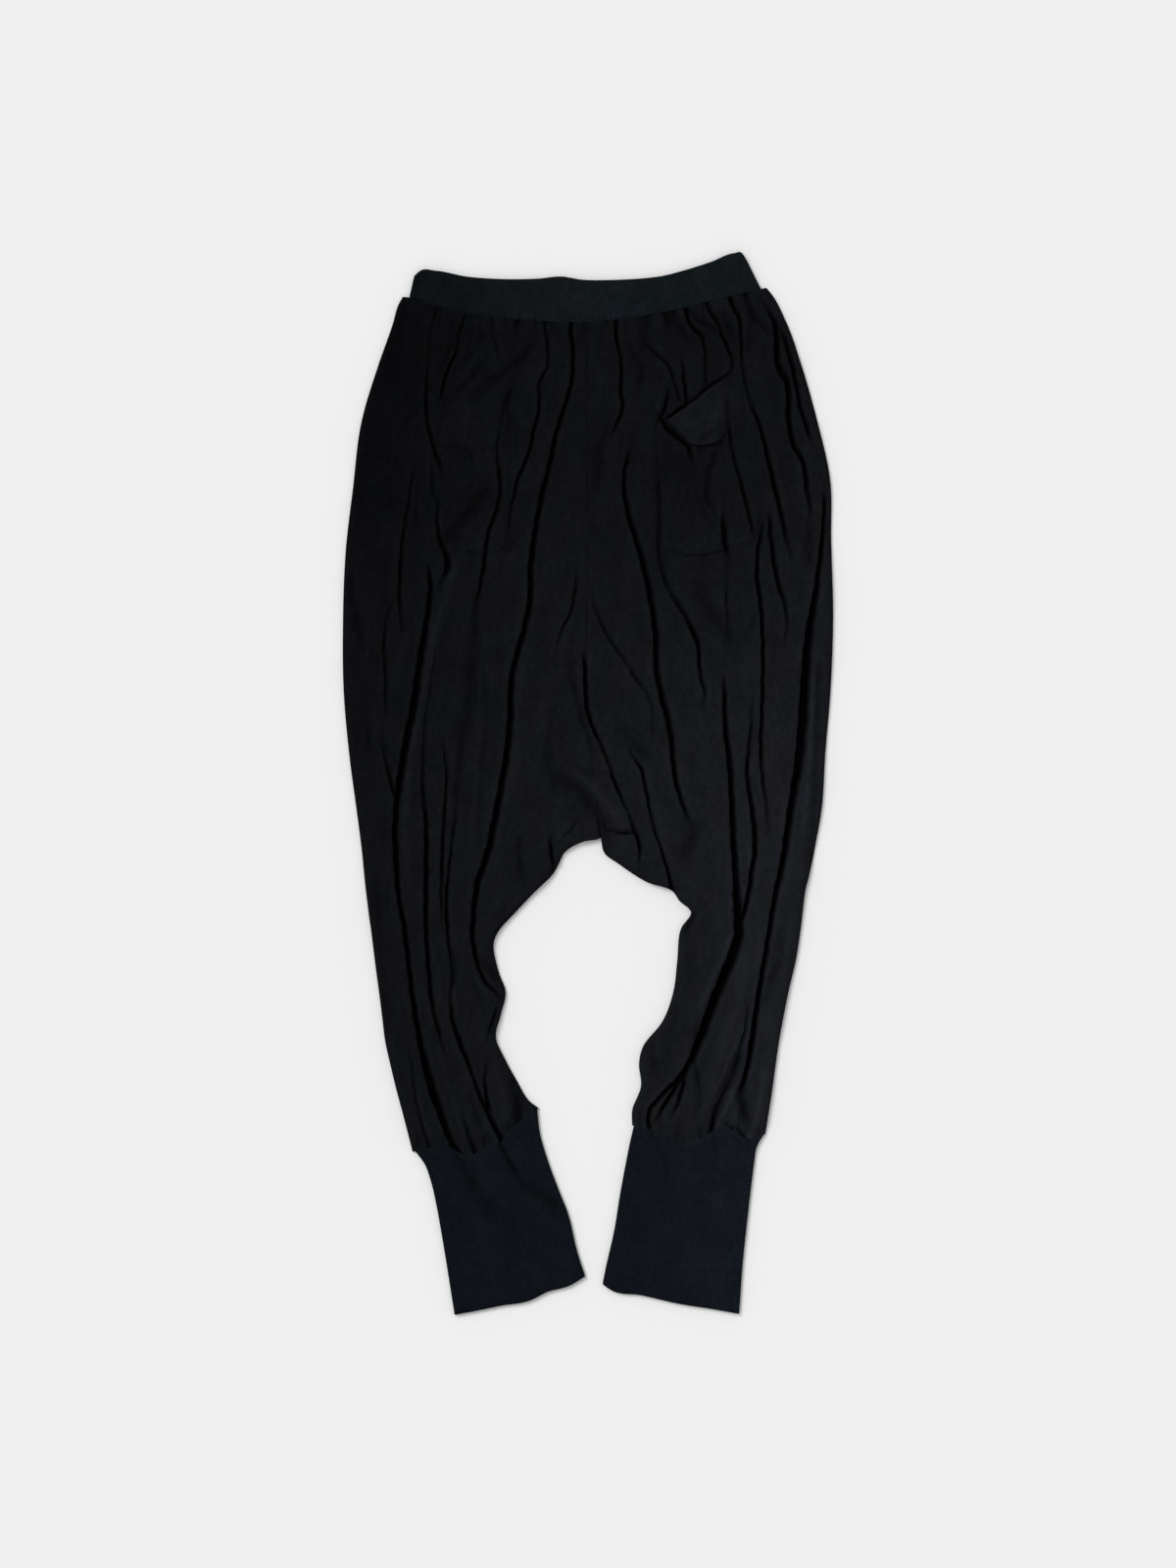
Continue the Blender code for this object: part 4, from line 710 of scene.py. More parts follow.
def track(widths, depths, course):
    """A fold's course as close places that run on past its ends, with its width and depth at each."""
    points = np.array(course, float)
    ends = [points[k] + RUN_ON * (points[k] - points[n]) / math.dist(points[k], points[n])
            for k, n in ((0, 1), (-1, -2))]
    points = np.concatenate([ends[:1], points, ends[1:]])
    steps = run_lengths(points)
    at = np.linspace(0, steps[-1], 2 + round(steps[-1] / COURSE_STEP))
    places = smooth_line(steps, points, at)
    ahead = np.gradient(places, axis=0)
    ahead /= np.linalg.norm(ahead, axis=1)[:, None]
    aside = np.stack([-ahead[:, 1], ahead[:, 0]], axis=-1)
    turn = course[0][0]
    for wobble, long in WOBBLES:
        places = places + aside * (wobble * wave(at, long, turn))[:, None]
    share = (at - RUN_ON) / (steps[-1] - 2 * RUN_ON)
    depths = spread_along(depths, share) * (1 + UNEVEN * wave(at, UNEVEN_LONG, turn))
    fade = min(FADE, FADE_MOST * steps[-1])
    if not meets_seam(course[0], WAIST_SEAM, True):
        depths = depths * ease(at / fade)
    if not any(meets_seam(course[-1], seam, False) for seam in (LEFT_CUFF_SEAM, RIGHT_CUFF_SEAM)):
        depths = depths * ease((at[-1] - at) / fade)
    return Track(places, ahead, aside, at[1], spread_along(widths, share), depths)


def beside(course, x, y):
    """For the points near a course: which they are, their distance to its right, and its width and depth."""
    nearest_gap = np.full(x.size, FOLD_REACH**2)
    side = np.zeros(x.size)
    place = np.zeros(x.size)
    for start in range(0, len(course.places), COURSE_RUN):
        run = slice(start, start + COURSE_RUN)
        low = course.places[run].min(axis=0) - FOLD_REACH
        high = course.places[run].max(axis=0) + FOLD_REACH
        close = np.flatnonzero((x > low[0]) & (x < high[0]) & (y > low[1]) & (y < high[1]))
        apart = np.stack([x[close], y[close]], axis=-1)[:, None] - course.places[run][None]
        gaps = (apart**2).sum(axis=2)
        best = gaps.argmin(axis=1)
        gaps = gaps[np.arange(len(close)), best]
        nearer = gaps < nearest_gap[close]
        close, best, apart = close[nearer], best[nearer], apart[nearer]
        apart = apart[np.arange(len(close)), best]
        nearest_gap[close] = gaps[nearer]
        side[close] = (apart * course.aside[run][best]).sum(axis=1)
        place[close] = start + best + (apart * course.ahead[run][best]).sum(axis=1) / course.step
    found = np.flatnonzero(nearest_gap < FOLD_REACH**2)
    stations = np.arange(len(course.places))
    widths, depths = (np.interp(place[found], stations, values) for values in (course.widths, course.depths))
    return found, side[found], widths, depths


def lap(side, width):
    """Cross-section of a lapped fold: 1 on its floor, 0 on both banks."""
    side = side + CENTRE_SHARE * width
    wall = ease((side + WALL_RUN) / WALL_RUN)
    rise = np.clip((side - width + FLOOR_LOSS) / (BANK_SHARE * width + BANK_LEAST), 0, 1)
    return wall * (1 - rise) ** BANK_POWER


def lips(side, width):
    """How far the cloth bulges on a fold's left and right lip."""
    left = side + CENTRE_SHARE * width + LEFT_LIP_OFF
    right = side - (1 + BANK_SHARE - CENTRE_SHARE) * width - BANK_LEAST - RIGHT_LIP_OFF
    return LEFT_LIP * bell(left, LEFT_LIP_WIDTH) + RIGHT_LIP * bell(right, 0.5 * width + RIGHT_LIP_WIDTH)


def seam_gathers(gathers, seam, way):
    """A seam's gathers, each with the length that it runs upwards, or downwards where way is -1."""
    left, right = seam[0][0], seam[-1][0]
    sway_turn, length_turn, depth_turn = GATHER_TURNS
    made = []
    for k in range(gathers.count):
        x = left + (k + 0.5) * (right - left) / gathers.count + gathers.sway * math.sin(sway_turn * k + left)
        growth = (0.5 + 0.5 * math.sin(length_turn * k + 1)) ** 2
        length = way * (gathers.short + (gathers.long - gathers.short) * growth)
        share = GATHER_LEAST + (1 - GATHER_LEAST) * math.sin(depth_turn * k) ** 2
        made.append(Gather(x, float(line_y(seam, x)), length, share, gathers.width, gathers.depth))
    return made


def gather_fade(gather, y):
    """1 at the seam, falling to 0 at the gather's end."""
    share = (y - gather.y) / gather.length
    return ease(1 - share) * (share > -GATHER_PAST)


TRACKS, SOFT_TRACKS, FLAP_TRACKS, UNDER_TRACKS, UNDER_SOFT_TRACKS, CUFF_TRACKS = (
    [track(widths, depths, course) for _, widths, depths, *course in rows]
    for rows in (FOLDS, SOFT_FOLDS, FLAP_FOLDS, UNDER_FOLDS, UNDER_SOFT_FOLDS, CUFF_CREASES)
)
GATHERS = [
    *seam_gathers(WAIST_GATHERS, WAIST_SEAM, -1),
    *seam_gathers(CUFF_GATHERS, LEFT_CUFF_SEAM, 1),
    *seam_gathers(CUFF_GATHERS, RIGHT_CUFF_SEAM, 1),
]


# ---------------------------------------------------------------- relief
def soft_relief(tracks, x, y):
    """What soft folds do at x, y: (troughs' depth, ridges' height)."""
    troughs = np.zeros(x.size)
    ridges = np.zeros(x.size)
    for course in tracks:
        found, side, width, depth = beside(course, x.ravel(), y.ravel())
        shape = depth * bell(side, width)
        troughs[found] = np.maximum(troughs[found], shape)
        ridges[found] = np.maximum(ridges[found], -shape)
    return troughs.reshape(x.shape), ridges.reshape(x.shape)


def relief(x, y, tracks, soft_tracks):
    """What folds do at x, y: (how far down, how far up, sideways lean, darkness as painted shade, with
    painted light where it is below 0).
    """
    down, up, lean, dark, light = np.zeros((5, x.size))
    for course in tracks:
        found, side, width, depth = beside(course, x.ravel(), y.ravel())
        shape = lap(side, width)
        deep = np.minimum(1.0, depth / FULL_DARK_DEPTH)
        lip = lips(side, width)
        bend = bell(side + CENTRE_SHARE * width + WALL_RUN, LEAN_WIDTH)
        down[found] += (depth * shape) ** MELD
        up[found] += depth * lip
        lean[found] += np.minimum(LEAN * depth, LEAN_MOST) * bend
        # painted shade on the fold's floor
        dark[found] = np.maximum(dark[found], shape * deep)
        # painted highlight on the fold's lips
        light[found] = np.maximum(light[found], LIP_PAINTED_LIGHT * deep * lip / RIGHT_LIP)
    dark -= light * (1 - dark) ** 2
    down, up, lean, dark = (values.reshape(x.shape) for values in (down, up, lean, dark))
    troughs, ridges = soft_relief(soft_tracks, x, y)
    down += troughs**MELD
    up += RIDGE_RISE * ridges
    # painted shade in soft troughs, painted highlight on soft ridges
    dark = dark + SOFT_PAINTED_SHADE * troughs * (1 - dark) - SOFT_PAINTED_LIGHT * ridges * (1 - np.clip(dark, 0, 1))
    for gather in GATHERS:
        side = x - gather.x - GATHER_SLANT * (y - gather.y) * math.sin(gather.x)
        shape = lap(side, gather.width) * gather_fade(gather, y) * gather.share
        down += (gather.depth * shape) ** MELD
        # painted shade in the gather
        dark += GATHER_PAINTED_SHADE * shape * (1 - np.clip(dark, 0, 1))
    return down ** (1 / MELD), up, lean, dark


def swell(x, y):
    total = np.zeros_like(x)
    for s in SWELLS:
        sway = 2 * math.pi * SWELL_SWAY * wave(y, s.along, s.turn)
        total += s.height * wave(x, s.across, s.turn + sway)
    return total


def seam_painted_light(x, y):
    """Painted light: how much lighter the cloth is painted along the waist and cuff seams, in uneven dashes.
    """
    sway = DASH_SWAY * np.sin(x / DASH_SWAY_LONG)
    dashes = 0.5 + 0.5 * wave(x, SEAM_DASH, sway) * np.sin(x / DASH_FADE_LONG + 1)
    total = bell(y - line_y(WAIST_SEAM, x), SEAM_PAINTED_LIGHT_WIDTH) * (y > WAIST_ZONE)
    for seam, on_side in ((LEFT_CUFF_SEAM, x < 0), (RIGHT_CUFF_SEAM, x > 0)):
        total = total + bell(y - line_y(seam, x), SEAM_PAINTED_LIGHT_WIDTH) * (y < CUFF_ZONE) * on_side
    return SEAM_PAINTED_LIGHT * total * dashes


def let_lean(lean, from_outer, from_inner, parted):
    """Less lean near a panel's edges, but not near the centre seam."""
    near_edge = np.minimum(from_outer, from_inner + FAR_AWAY * (1 - parted))
    return lean * ease(near_edge / STILL_EDGE)


def upper_face(x, y, from_outer, from_inner, parted, follow=1.0):
    """The upper layer's outer face: x moved by the folds' lean, z, and darkness as painted shade."""
    down, up, lean, dark = relief(x, y, TRACKS, SOFT_TRACKS)
    legs = ease((LEG_TOP - y) / LEG_RAMP)
    loft = HIP_LOFT + (LEG_LOFT - HIP_LOFT) * legs
    edge = HIP_ROUND + (LEG_ROUND - HIP_ROUND) * legs
    above_cuff = y - np.where(x < 0, line_y(LEFT_CUFF_SEAM, x), line_y(RIGHT_CUFF_SEAM, x))
    below_waist = line_y(WAIST_SEAM, x) - y
    for height, distance, fall, near in (
        (CUFF_MEET, above_cuff, CUFF_FALL, y < ANKLE_ZONE),
        (WAIST_MEET, below_waist, WAIST_FALL, y > WAIST_ZONE),
    ):
        meet = height - EDGE_TOP
        loft = meet + (loft - meet) * np.where(near, ease(distance / fall), 1.0)
    centre = SEAM_DIP * bell(from_inner, SEAM_WIDTH)
    centre = centre - SEAM_RIDGE * bell(from_inner - SEAM_RIDGE_OFF, SEAM_RIDGE_WIDTH)
    body = loft + swell(x, y) + up - follow * down - centre * (1 - parted)
    inner = 1 - parted * (1 - roll(from_inner, edge))
    z = EDGE_TOP + np.maximum(body, 0.0) * inner * roll(from_outer, edge)
    px = x + let_lean(lean, from_outer, from_inner, parted)
    # painted light along the seams lowers the darkness
    return px, z, dark - seam_painted_light(x, y) * (1 - np.clip(dark, 0, 1))


# ---------------------------------------------------------------- rows and columns
def section_rows(table, step):
    """Lengths down a piece at its sections, and at rows about a step apart."""
    moves = np.diff(table, axis=0)
    lengths = (np.hypot(moves[:, 0], moves[:, 1]) + np.hypot(moves[:, 2], moves[:, 3])) / 2
    knots = np.concatenate([[0.0], np.cumsum(lengths)])
    return knots, np.linspace(0, knots[-1], 1 + 2 * math.ceil(knots[-1] / (2 * step)))


def row_widths(edges):
    return np.hypot(edges[:, 2] - edges[:, 0], edges[:, 3] - edges[:, 1])


def between(edges, share):
    """x and y at a share of the way from each row's one end to its other."""
    return [edges[:, k:k + 1] + (edges[:, k + 2:k + 3] - edges[:, k:k + 1]) * share for k in (0, 1)]


def set_columns(edges, parted, count, tracks):
    """Shares of the way across each row, crowded at the folds' walls, their banks and rolled edges."""
    shares = np.linspace(0, 1, ACROSS_SAMPLES)[None, :]
    x, y = between(edges, shares)
    width = row_widths(edges)[:, None]
    weight = np.ones_like(x)
    for course in tracks:
        found, side, wide, depth = beside(course, x.ravel(), y.ravel())
        pull = WALL_PULL * bell(side + CENTRE_SHARE * wide + WALL_OFF, WALL_NEAR)
        pull += BANK_PULL * bell(side - wide, wide + BANK_NEAR)
        weight.ravel()[found] += np.minimum(1.0, depth / FULL_PULL_DEPTH) ** 0.5 * pull
    for gather in GATHERS:
        weight += GATHER_PULL * gather_fade(gather, y) * bell(x - gather.x, GATHER_NEAR)
    from_inner = (1 - shares) * width
    weight += EDGE_PULL * bell(shares * width, HIP_ROUND)
    weight += EDGE_PULL * parted[:, None] * bell(from_inner, HIP_ROUND)
    weight += EDGE_PULL * (1 - parted[:, None]) * bell(from_inner, CENTRE_NEAR)
    total = np.cumsum((weight[:, 1:] + weight[:, :-1]) / 2, axis=1)
    total = np.concatenate([np.zeros((len(x), 1)), total], axis=1)
    even = np.linspace(0, 1, count)
    columns = np.array([np.interp(even * row[-1], row, shares[0]) for row in total])
    for _ in range(COLUMN_SMOOTHING):
        padded = np.concatenate([columns[:1], columns, columns[-1:]])
        columns = (padded[:-2] + 2 * padded[1:-1] + padded[2:]) / 4
    return columns


def panel_plan(sections, cuff_seam, step, count, inset, tracks):
    """x, y, distance from the outer and the inner edge, and how parted the legs are, on a panel's grid."""
    table = np.array(sections, float)
    knots, rows = section_rows(table[:, :4], step)
    edges = smooth_line(knots, table[:, :4], rows)
    parting = np.interp(rows, knots, table[:, 4])
    joined = parting < 1
    parted = ease(parting)
    edges[joined, 2] = smooth_curve(*zip(*CENTRE_SEAM), edges[joined, 3])
    shares = set_columns(edges, parted, count, tracks)
    width = row_widths(edges)[:, None]
    parted = parted[:, None]
    start = inset / width
    end = 1 - inset * parted / width
    across = start + (end - start) * shares
    x, y = between(edges, across)
    down = np.linspace(0, 1, len(edges))[:, None]
    y = y + (line_y(WAIST_SEAM, x[0]) - SEAM_GAP / 2 - y[0]) * (1 - down) ** WAIST_HOLD
    y = y + (line_y(cuff_seam, x[-1]) + SEAM_GAP / 2 - y[-1]) * down**CUFF_HOLD
    return x, y, across * width, (1 - across) * width, np.broadcast_to(parted, x.shape)


def cut_places(x, y, from_outer, from_inner):
    """Places on the flat cut of a leg panel, in millimetres."""
    across = CUT_WIDTH * from_outer / (from_outer + from_inner)
    return np.stack([across + CUT_APART * (x[0, 0] > 0), y], axis=-1)


def tone_at(x, y):
    """Painted light: the cloth is painted lighter towards the right and the legs, with darker and lighter
    patches.
    """
    legs = np.clip((PAINTED_LIGHT_TOP - y) / PAINTED_LIGHT_LENGTH, 0, 1)
    right = np.clip((x / PAINTED_LIGHT_HALF + 1) / 2, 0, 1)
    total = PAINTED_LIGHT_LEAST + PAINTED_LIGHT_LEGS * legs + (PAINTED_LIGHT_RIGHT + PAINTED_LIGHT_BOTH * legs) * right
    for t in TONES:
        total += t.change * bell(x - t.x, t.reach_x) * bell(y - t.y, t.reach_y)
    return total


# ---------------------------------------------------------------- meshes
def grid_of(x, y, z):
    return np.stack([x, y, z], axis=-1)


def quads(index):
    """Faces of a grid of vertex numbers."""
    a, b = index[:-1, :-1], index[:-1, 1:]
    c, d = index[1:, 1:], index[1:, :-1]
    return np.stack([a, b, c, d], axis=-1).reshape(-1, 4)


def rim(index):
    """Vertex numbers round a grid."""
    return np.concatenate([index[0, :-1], index[:-1, -1], index[-1, :0:-1], index[:0:-1, 0]])


def make_mesh(name, points, faces, cut, dark, tone, sides=()):
    """Mesh from points in millimetres, with a cut map, and darkness (painted shade) and tone at its points.
    """
    points = points.reshape(-1, 3)
    a, b, c, d = (points[faces[:, k]] for k in range(4))
    volume = (np.cross(a, b) * c).sum() + (np.cross(a, c) * d).sum()
    if volume < 0:
        faces = faces[:, ::-1]
        sides = [side[::-1] for side in sides]
    mesh = bpy.data.meshes.new(name)
    mesh.from_pydata((points * MM).tolist(), [], [*faces.tolist(), *sides])
    mesh.update()
    corners = np.empty(len(mesh.loops), dtype=np.int32)
    mesh.loops.foreach_get("vertex_index", corners)
    layer = mesh.uv_layers.new(name="cut")
    at_corners = (cut.reshape(-1, 2) / CUT_SCALE)[corners]
    layer.data.foreach_set("uv", at_corners.astype(np.float32).ravel())
    for key, value in (("dark", dark), ("tone", tone)):
        values = mesh.attributes.new(key, "FLOAT", "POINT")
        values.data.foreach_set("value", value.astype(np.float32).ravel())
    return mesh


def shell_mesh(name, top, bottom, dark, tone, cut):
    """Closed thin shell between two grids of points, the lower one with all the rows or every second."""
    rows, columns = top.shape[:2]
    skip = (rows - 1) // (len(bottom) - 1)
    upper = np.arange(rows * columns).reshape(rows, columns)
    lower = upper.size + np.arange(len(bottom) * columns).reshape(-1, columns)
    near, far = rim(upper[::skip]), rim(lower)
    sides = np.stack([np.roll(near, -1), np.roll(far, -1), far, near], axis=-1).tolist()
    if skip == 2:
        # The upper grid's rows between two of the lower one's are fifth corners of the side faces
        right = columns - 1
        left = 2 * right + len(bottom) - 1
        for start, middles in ((right, upper[1::2, -1]), (left, upper[-2::-2, 0])):
            for side, middle in zip(sides[start:], middles.tolist()):
                side.append(middle)
    faces = np.concatenate([quads(upper), quads(lower)[:, ::-1]])
    points, cut, dark, tone = (
        np.concatenate([over.reshape(-1, size), under.reshape(-1, size)])
        for over, under, size in (
            (top, bottom, 3), (cut, cut[::skip], 2), (dark, dark[::skip], 1), (tone, tone[::skip], 1),
        )
    )
    return make_mesh(name, points, faces, cut, dark, tone, sides)


def add_piece(mesh, material, slot, *nodes):
    """The piece with a mesh's name, which rides on the root and replaces nodes of the part."""
    mesh.materials.append(material)
    mesh.shade_smooth()
    mesh.set_sharp_from_angle(angle=math.radians(SHARP_ANGLE))
    piece = bpy.data.objects.new(mesh.name, mesh)
    bpy.context.scene.collection.objects.link(piece)
    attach(piece, "root")
    if nodes:
        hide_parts(*nodes)
    return piece


# ---------------------------------------------------------------- materials
def fabric(name, colour, streak, crepe, heights, rib=False):
    """Matt cloth: uneven dye, painted shade in its creases and painted light where the darkness is below 0,
    with streaks along the cut and a fine crepe.
    """
    material = bpy.data.materials.new(name)
    material.use_nodes = True
    tree = material.node_tree
    shader = tree.nodes["Principled BSDF"]
    shader.inputs["Roughness"].default_value = ROUGHNESS
    shader.inputs["Specular IOR Level"].default_value = SPECULAR
    shader.inputs["Sheen Weight"].default_value = SHEEN
    shader.inputs["Sheen Roughness"].default_value = SHEEN_ROUGHNESS
    shader.inputs["Sheen Tint"].default_value = SHEEN_TINT

    def node(kind, inputs=(), **settings):
        """New node, with its settings, and its inputs set to values or linked to other nodes' outputs."""
        made = tree.nodes.new(kind)
        for key, value in settings.items():
            setattr(made, key, value)
        for key, value in dict(inputs).items():
            if isinstance(value, bpy.types.NodeSocket):
                tree.links.new(value, made.inputs[key])
            else:
                made.inputs[key].default_value = value
        return made

    def noise(wide, long, detail):
        scale = (CUT_SCALE / wide, CUT_SCALE / long, 1.0)
        mapping = node("ShaderNodeMapping", {"Scale": scale, "Vector": cut})
        inputs = {"Scale": 1.0, "Detail": detail, "Vector": mapping.outputs["Vector"]}
        return node("ShaderNodeTexNoise", inputs, noise_dimensions="2D").outputs["Fac"]

    def ranged(value, low, high, start=NOISE_LOW, stop=NOISE_HIGH):
        inputs = {"Value": value, "From Min": start, "From Max": stop, "To Min": low, "To Max": high}
        return node("ShaderNodeMapRange", inputs).outputs["Result"]

    def times(one, two):
        return node("ShaderNodeMath", {0: one, 1: two}, operation="MULTIPLY").outputs[0]

    def at_points(name):
        return node("ShaderNodeAttribute", attribute_name=name).outputs["Fac"]

    def bump(value, height, strength=1.0, normal=None):
        inputs = {"Strength": strength, "Distance": height * MM, "Height": value}
        if normal:
            inputs["Normal"] = normal
        return node("ShaderNodeBump", inputs).outputs["Normal"]

    cut = node("ShaderNodeUVMap", uv_map="cut").outputs["UV"]
    streaks, fine = noise(*streak), noise(*crepe)
    lightest = 1.0 - (1.0 - PAINTED_FOLD_FLOOR) * LIGHTEST_DARK
    # the darkness is painted shade in folds and creases; below 0 it is painted light
    shade = times(at_points("tone"), ranged(at_points("dark"), lightest, PAINTED_FOLD_FLOOR, LIGHTEST_DARK, 1.0))
    for grain, change in zip((noise(*PATCHES), noise(*MOTTLES), streaks, fine), GRAIN_CHANGES):
        shade = times(shade, ranged(grain, 1 - change, 1 + change))
    warm, cool = ([c * k for c, k in zip(colour, tint)] for tint in (WARM, COOL))
    hues = {"A": warm, "B": cool, "Factor": ranged(noise(*HUE_PATCH), 0.0, 1.0)}
    hue = node("ShaderNodeMix", hues, data_type="VECTOR").outputs["Result"]
    dyed = node("ShaderNodeVectorMath", {0: hue, "Scale": shade}, operation="SCALE")
    tree.links.new(dyed.outputs["Vector"], shader.inputs["Base Color"])

    normal = bump(fine, heights[1], normal=bump(streaks, heights[0]))
    if rib:
        rows = {"Scale": STITCH_ROW_SCALE, "Vector": cut}
        rows = node("ShaderNodeTexWave", rows, wave_type="BANDS", bands_direction="Y").outputs["Fac"]
        normal = bump(rows, STITCH_ROW_HEIGHT, STITCH_ROW_STRENGTH, normal)
    tree.links.new(normal, shader.inputs["Normal"])
    return material


cloth = fabric("crinkled_jersey", CLOTH_COLOUR, *JERSEY)
band_knit = fabric("fine_rib", BAND_COLOUR, *KNIT, rib=True)
cuff_knit = fabric("fine_rib_of_the_cuffs", CUFF_COLOUR, *KNIT, rib=True)


# ---------------------------------------------------------------- panels
def back_panel(side, sections, cuff_seam):
    x, y, outer, inner, parted = panel_plan(sections, cuff_seam, ROW_STEP, COLUMNS, 0.0, TRACKS)
    px, z, dark = upper_face(x, y, outer, inner, parted)
    top, bottom = grid_of(px, y, z), grid_of(px, y, lowest_near(z, 0) - SHELL)[::2]
    cut = cut_places(x, y, outer, inner)
    mesh = shell_mesh(f"back_{side}_cloth", top, bottom, dark, tone_at(x, y), cut)
    return add_piece(mesh, cloth, "cloth", f"back_{side}")


def front_panel(side, sections, cuff_seam):
    """The layer on the floor, whose folds stand up into the room under the upper layer."""
    plan = panel_plan(sections, cuff_seam, UNDER_STEP, UNDER_COLUMNS, UNDER_INSET, UNDER_TRACKS)
    x, y, outer, inner, parted = plan
    _, above, _ = upper_face(x, y, outer + UNDER_INSET, inner + UNDER_INSET, parted)
    above = lowest_near(lowest_near(above, 0), 1)
    room = np.maximum(above - SHELL - LAYER_GAP - UNDER_TOP, 0)
    down, _, lean, dark = relief(x, y, UNDER_TRACKS, UNDER_SOFT_TRACKS)
    waves = UNDER_WAVE * np.maximum(swell(-x * UNDER_WAVE_SQUEEZE, y) + UNDER_WAVE_LIFT, 0)
    lift = np.minimum(waves + UNDER_FOLD_SHARE * down, UNDER_ROOM_SHARE * room)
    low = UNDER_TOP - SHELL + lift
    px = x + UNDER_FOLD_SHARE * let_lean(lean, outer, inner, parted)
    top, bottom = grid_of(px, y, low + SHELL), grid_of(px, y, low - UNDER_REST * bell(lift, UNDER_REST_LIFT))
    cut = cut_places(x, y, outer, inner)
    mesh = shell_mesh(f"front_{side}_cloth", top, bottom, dark, tone_at(x, y), cut)
    return add_piece(mesh, cloth, "cloth", f"front_{side}")


# ---------------------------------------------------------------- pockets
def points_along(line, count):
    """Points evenly along a smooth line through a few places."""
    points = np.array(line, float)
    steps = run_lengths(points)
    return smooth_line(steps, points, np.linspace(0, steps[-1], count))


def grid_shares(rows, columns):
    """Shares of the way across and down a grid."""
    return np.meshgrid(np.linspace(0, 1, columns), np.linspace(0, 1, rows))


def patch(pocket, u, v):
    """Points of a four-sided patch at shares u across and v down it, from its four edges."""
    rows, columns = u.shape
    top, foot = points_along(pocket.top, columns), points_along(pocket.foot, columns)
    left, right = points_along(pocket.left, rows)[:, None], points_along(pocket.right, rows)[:, None]
    u, v = u[..., None], v[..., None]
    corners = (1 - u) * (1 - v) * top[0] + u * (1 - v) * top[-1]
    corners = corners + (1 - u) * v * foot[0] + u * v * foot[-1]
    return (1 - u) * left + u * right + (1 - v) * top + v * foot - corners


def on_panel(x, y, follow):
    far = np.full_like(x, POCKET_FAR)
    return upper_face(x, y, far, far, np.zeros_like(x), follow)


def pocket_piece(side, pocket):
    """A pocket, and the points of its upper face."""
    wide = abs(pocket.top[-1][0] - pocket.top[0][0])
    tall = abs(pocket.top[0][1] - pocket.foot[0][1])
    u, v = grid_shares(round(tall / POCKET_ROW_STEP), round(wide / POCKET_COLUMN_STEP))
    points = patch(pocket, u, v)
    x, y = points[..., 0], points[..., 1]
    px, z, dark = on_panel(x, y, POCKET_BRIDGE)
    edge = np.minimum(np.minimum(u, 1 - u) * wide, (1 - v) * tall)
    pad = (POCKET_PAD + SEAM_PAD * bell(edge - SEAM_PAD_OFF, SEAM_PAD_WIDTH)) * ease(edge / POCKET_PAD_RUN)
    hemmed = ease((pocket.hem - v * tall) / HEM_STEP) * (pocket.hem > 0)
    thick = POCKET_SHELL + (POCKET_HEM_SHELL - POCKET_SHELL) * hemmed
    full = ease(edge / POCKET_EDGE_RUN)
    base = z + POCKET_LIFT * full + pad
    top = grid_of(px, y, base + thick * (POCKET_EDGE + (1 - POCKET_EDGE) * full))
    bottom = grid_of(px, y, base)
    # the pocket carries the panel's painted shade
    mesh = shell_mesh(f"pocket_{side}_cloth", top, bottom, dark * POCKET_PAINTED_SHADE, tone_at(x, y), points)
    return add_piece(mesh, cloth, "cloth", f"pocket_{side}"), top


def flap_piece():
    """The right pocket's mouth corner, turned over and standing off the pocket at its free hem."""
    u, v = grid_shares(FLAP_ROWS, FLAP_COLUMNS)
    fold, free = points_along(FLAP_FOLD, FLAP_COLUMNS), points_along(FLAP_FREE, FLAP_COLUMNS)
    points = (1 - v[..., None]) * fold + v[..., None] * free
    x, y = points[..., 0], points[..., 1]
    _, z, _ = on_panel(x, y, FLAP_BRIDGE)
    merging = ease((u - FLAP_MERGE) / (1 - FLAP_MERGE))
    troughs, ridges = soft_relief(FLAP_TRACKS, x, y)
    rise = FLAP_RISE * (FLAP_FOLD_RISE + (1 - FLAP_FOLD_RISE) * v) * ease(u / FLAP_START)
    belly = FLAP_BELLY * np.sin(math.pi * v) * np.sin(math.pi * u)
    rise = (rise + belly + FLAP_RIDGES * ridges - FLAP_TROUGHS * troughs) * (1 - merging)
    base = z + POCKET_LIFT + POCKET_SHELL + FLAP_CLEAR * (1 - merging) + np.maximum(rise, 0)
    thick = FLAP_SHELL * (FLAP_FOLD_SHELL + (1 - FLAP_FOLD_SHELL) * ease(v / FLAP_FOLD_RUN))
    top = grid_of(x, y, base + thick * (1 - FLAP_MERGED_LOSS * merging))
    # painted shade in the flap's troughs, painted highlight on its ridges
    dark = SOFT_PAINTED_SHADE * troughs - SOFT_PAINTED_LIGHT * ridges
    # painted highlight on the turned flap
    tone = tone_at(x, y) * (1 + FLAP_PAINTED_LIGHT * (1 - merging))
    mesh = shell_mesh("pocket_right_flap", top, grid_of(x, y, base), dark, tone, points)
    return add_piece(mesh, cloth, "cloth")


def stitch_line(points):
    """Rings of points round small padded stitches, along a line of points on the cloth."""
    steps = run_lengths(points)
    count = int(steps[-1] / (STITCH_LONG + STITCH_GAP))
    middles = (np.arange(count) + 0.5) * steps[-1] / count
    places, thickness = np.array(STITCH_RINGS).T
    at = middles[:, None] + places * STITCH_LONG
    rings = np.stack([np.interp(at, steps, column) for column in points.T], axis=-1)
    run = rings[:, -1] - rings[:, 0]
    aside = grid_of(-run[:, 1], run[:, 0], np.zeros(count))
    aside /= np.linalg.norm(aside, axis=1)[:, None]
    angle = np.arange(STITCH_SIDES)[:, None] * 2 * math.pi / STITCH_SIDES
    up = np.array([0, 0, 1.0])
    offset = aside[:, None, None] * np.cos(angle) + up * np.sin(angle)
    return rings[:, :, None] + offset * (STITCH_THICK / 2 * thickness)[:, None, None] + STITCH_LIFT * up


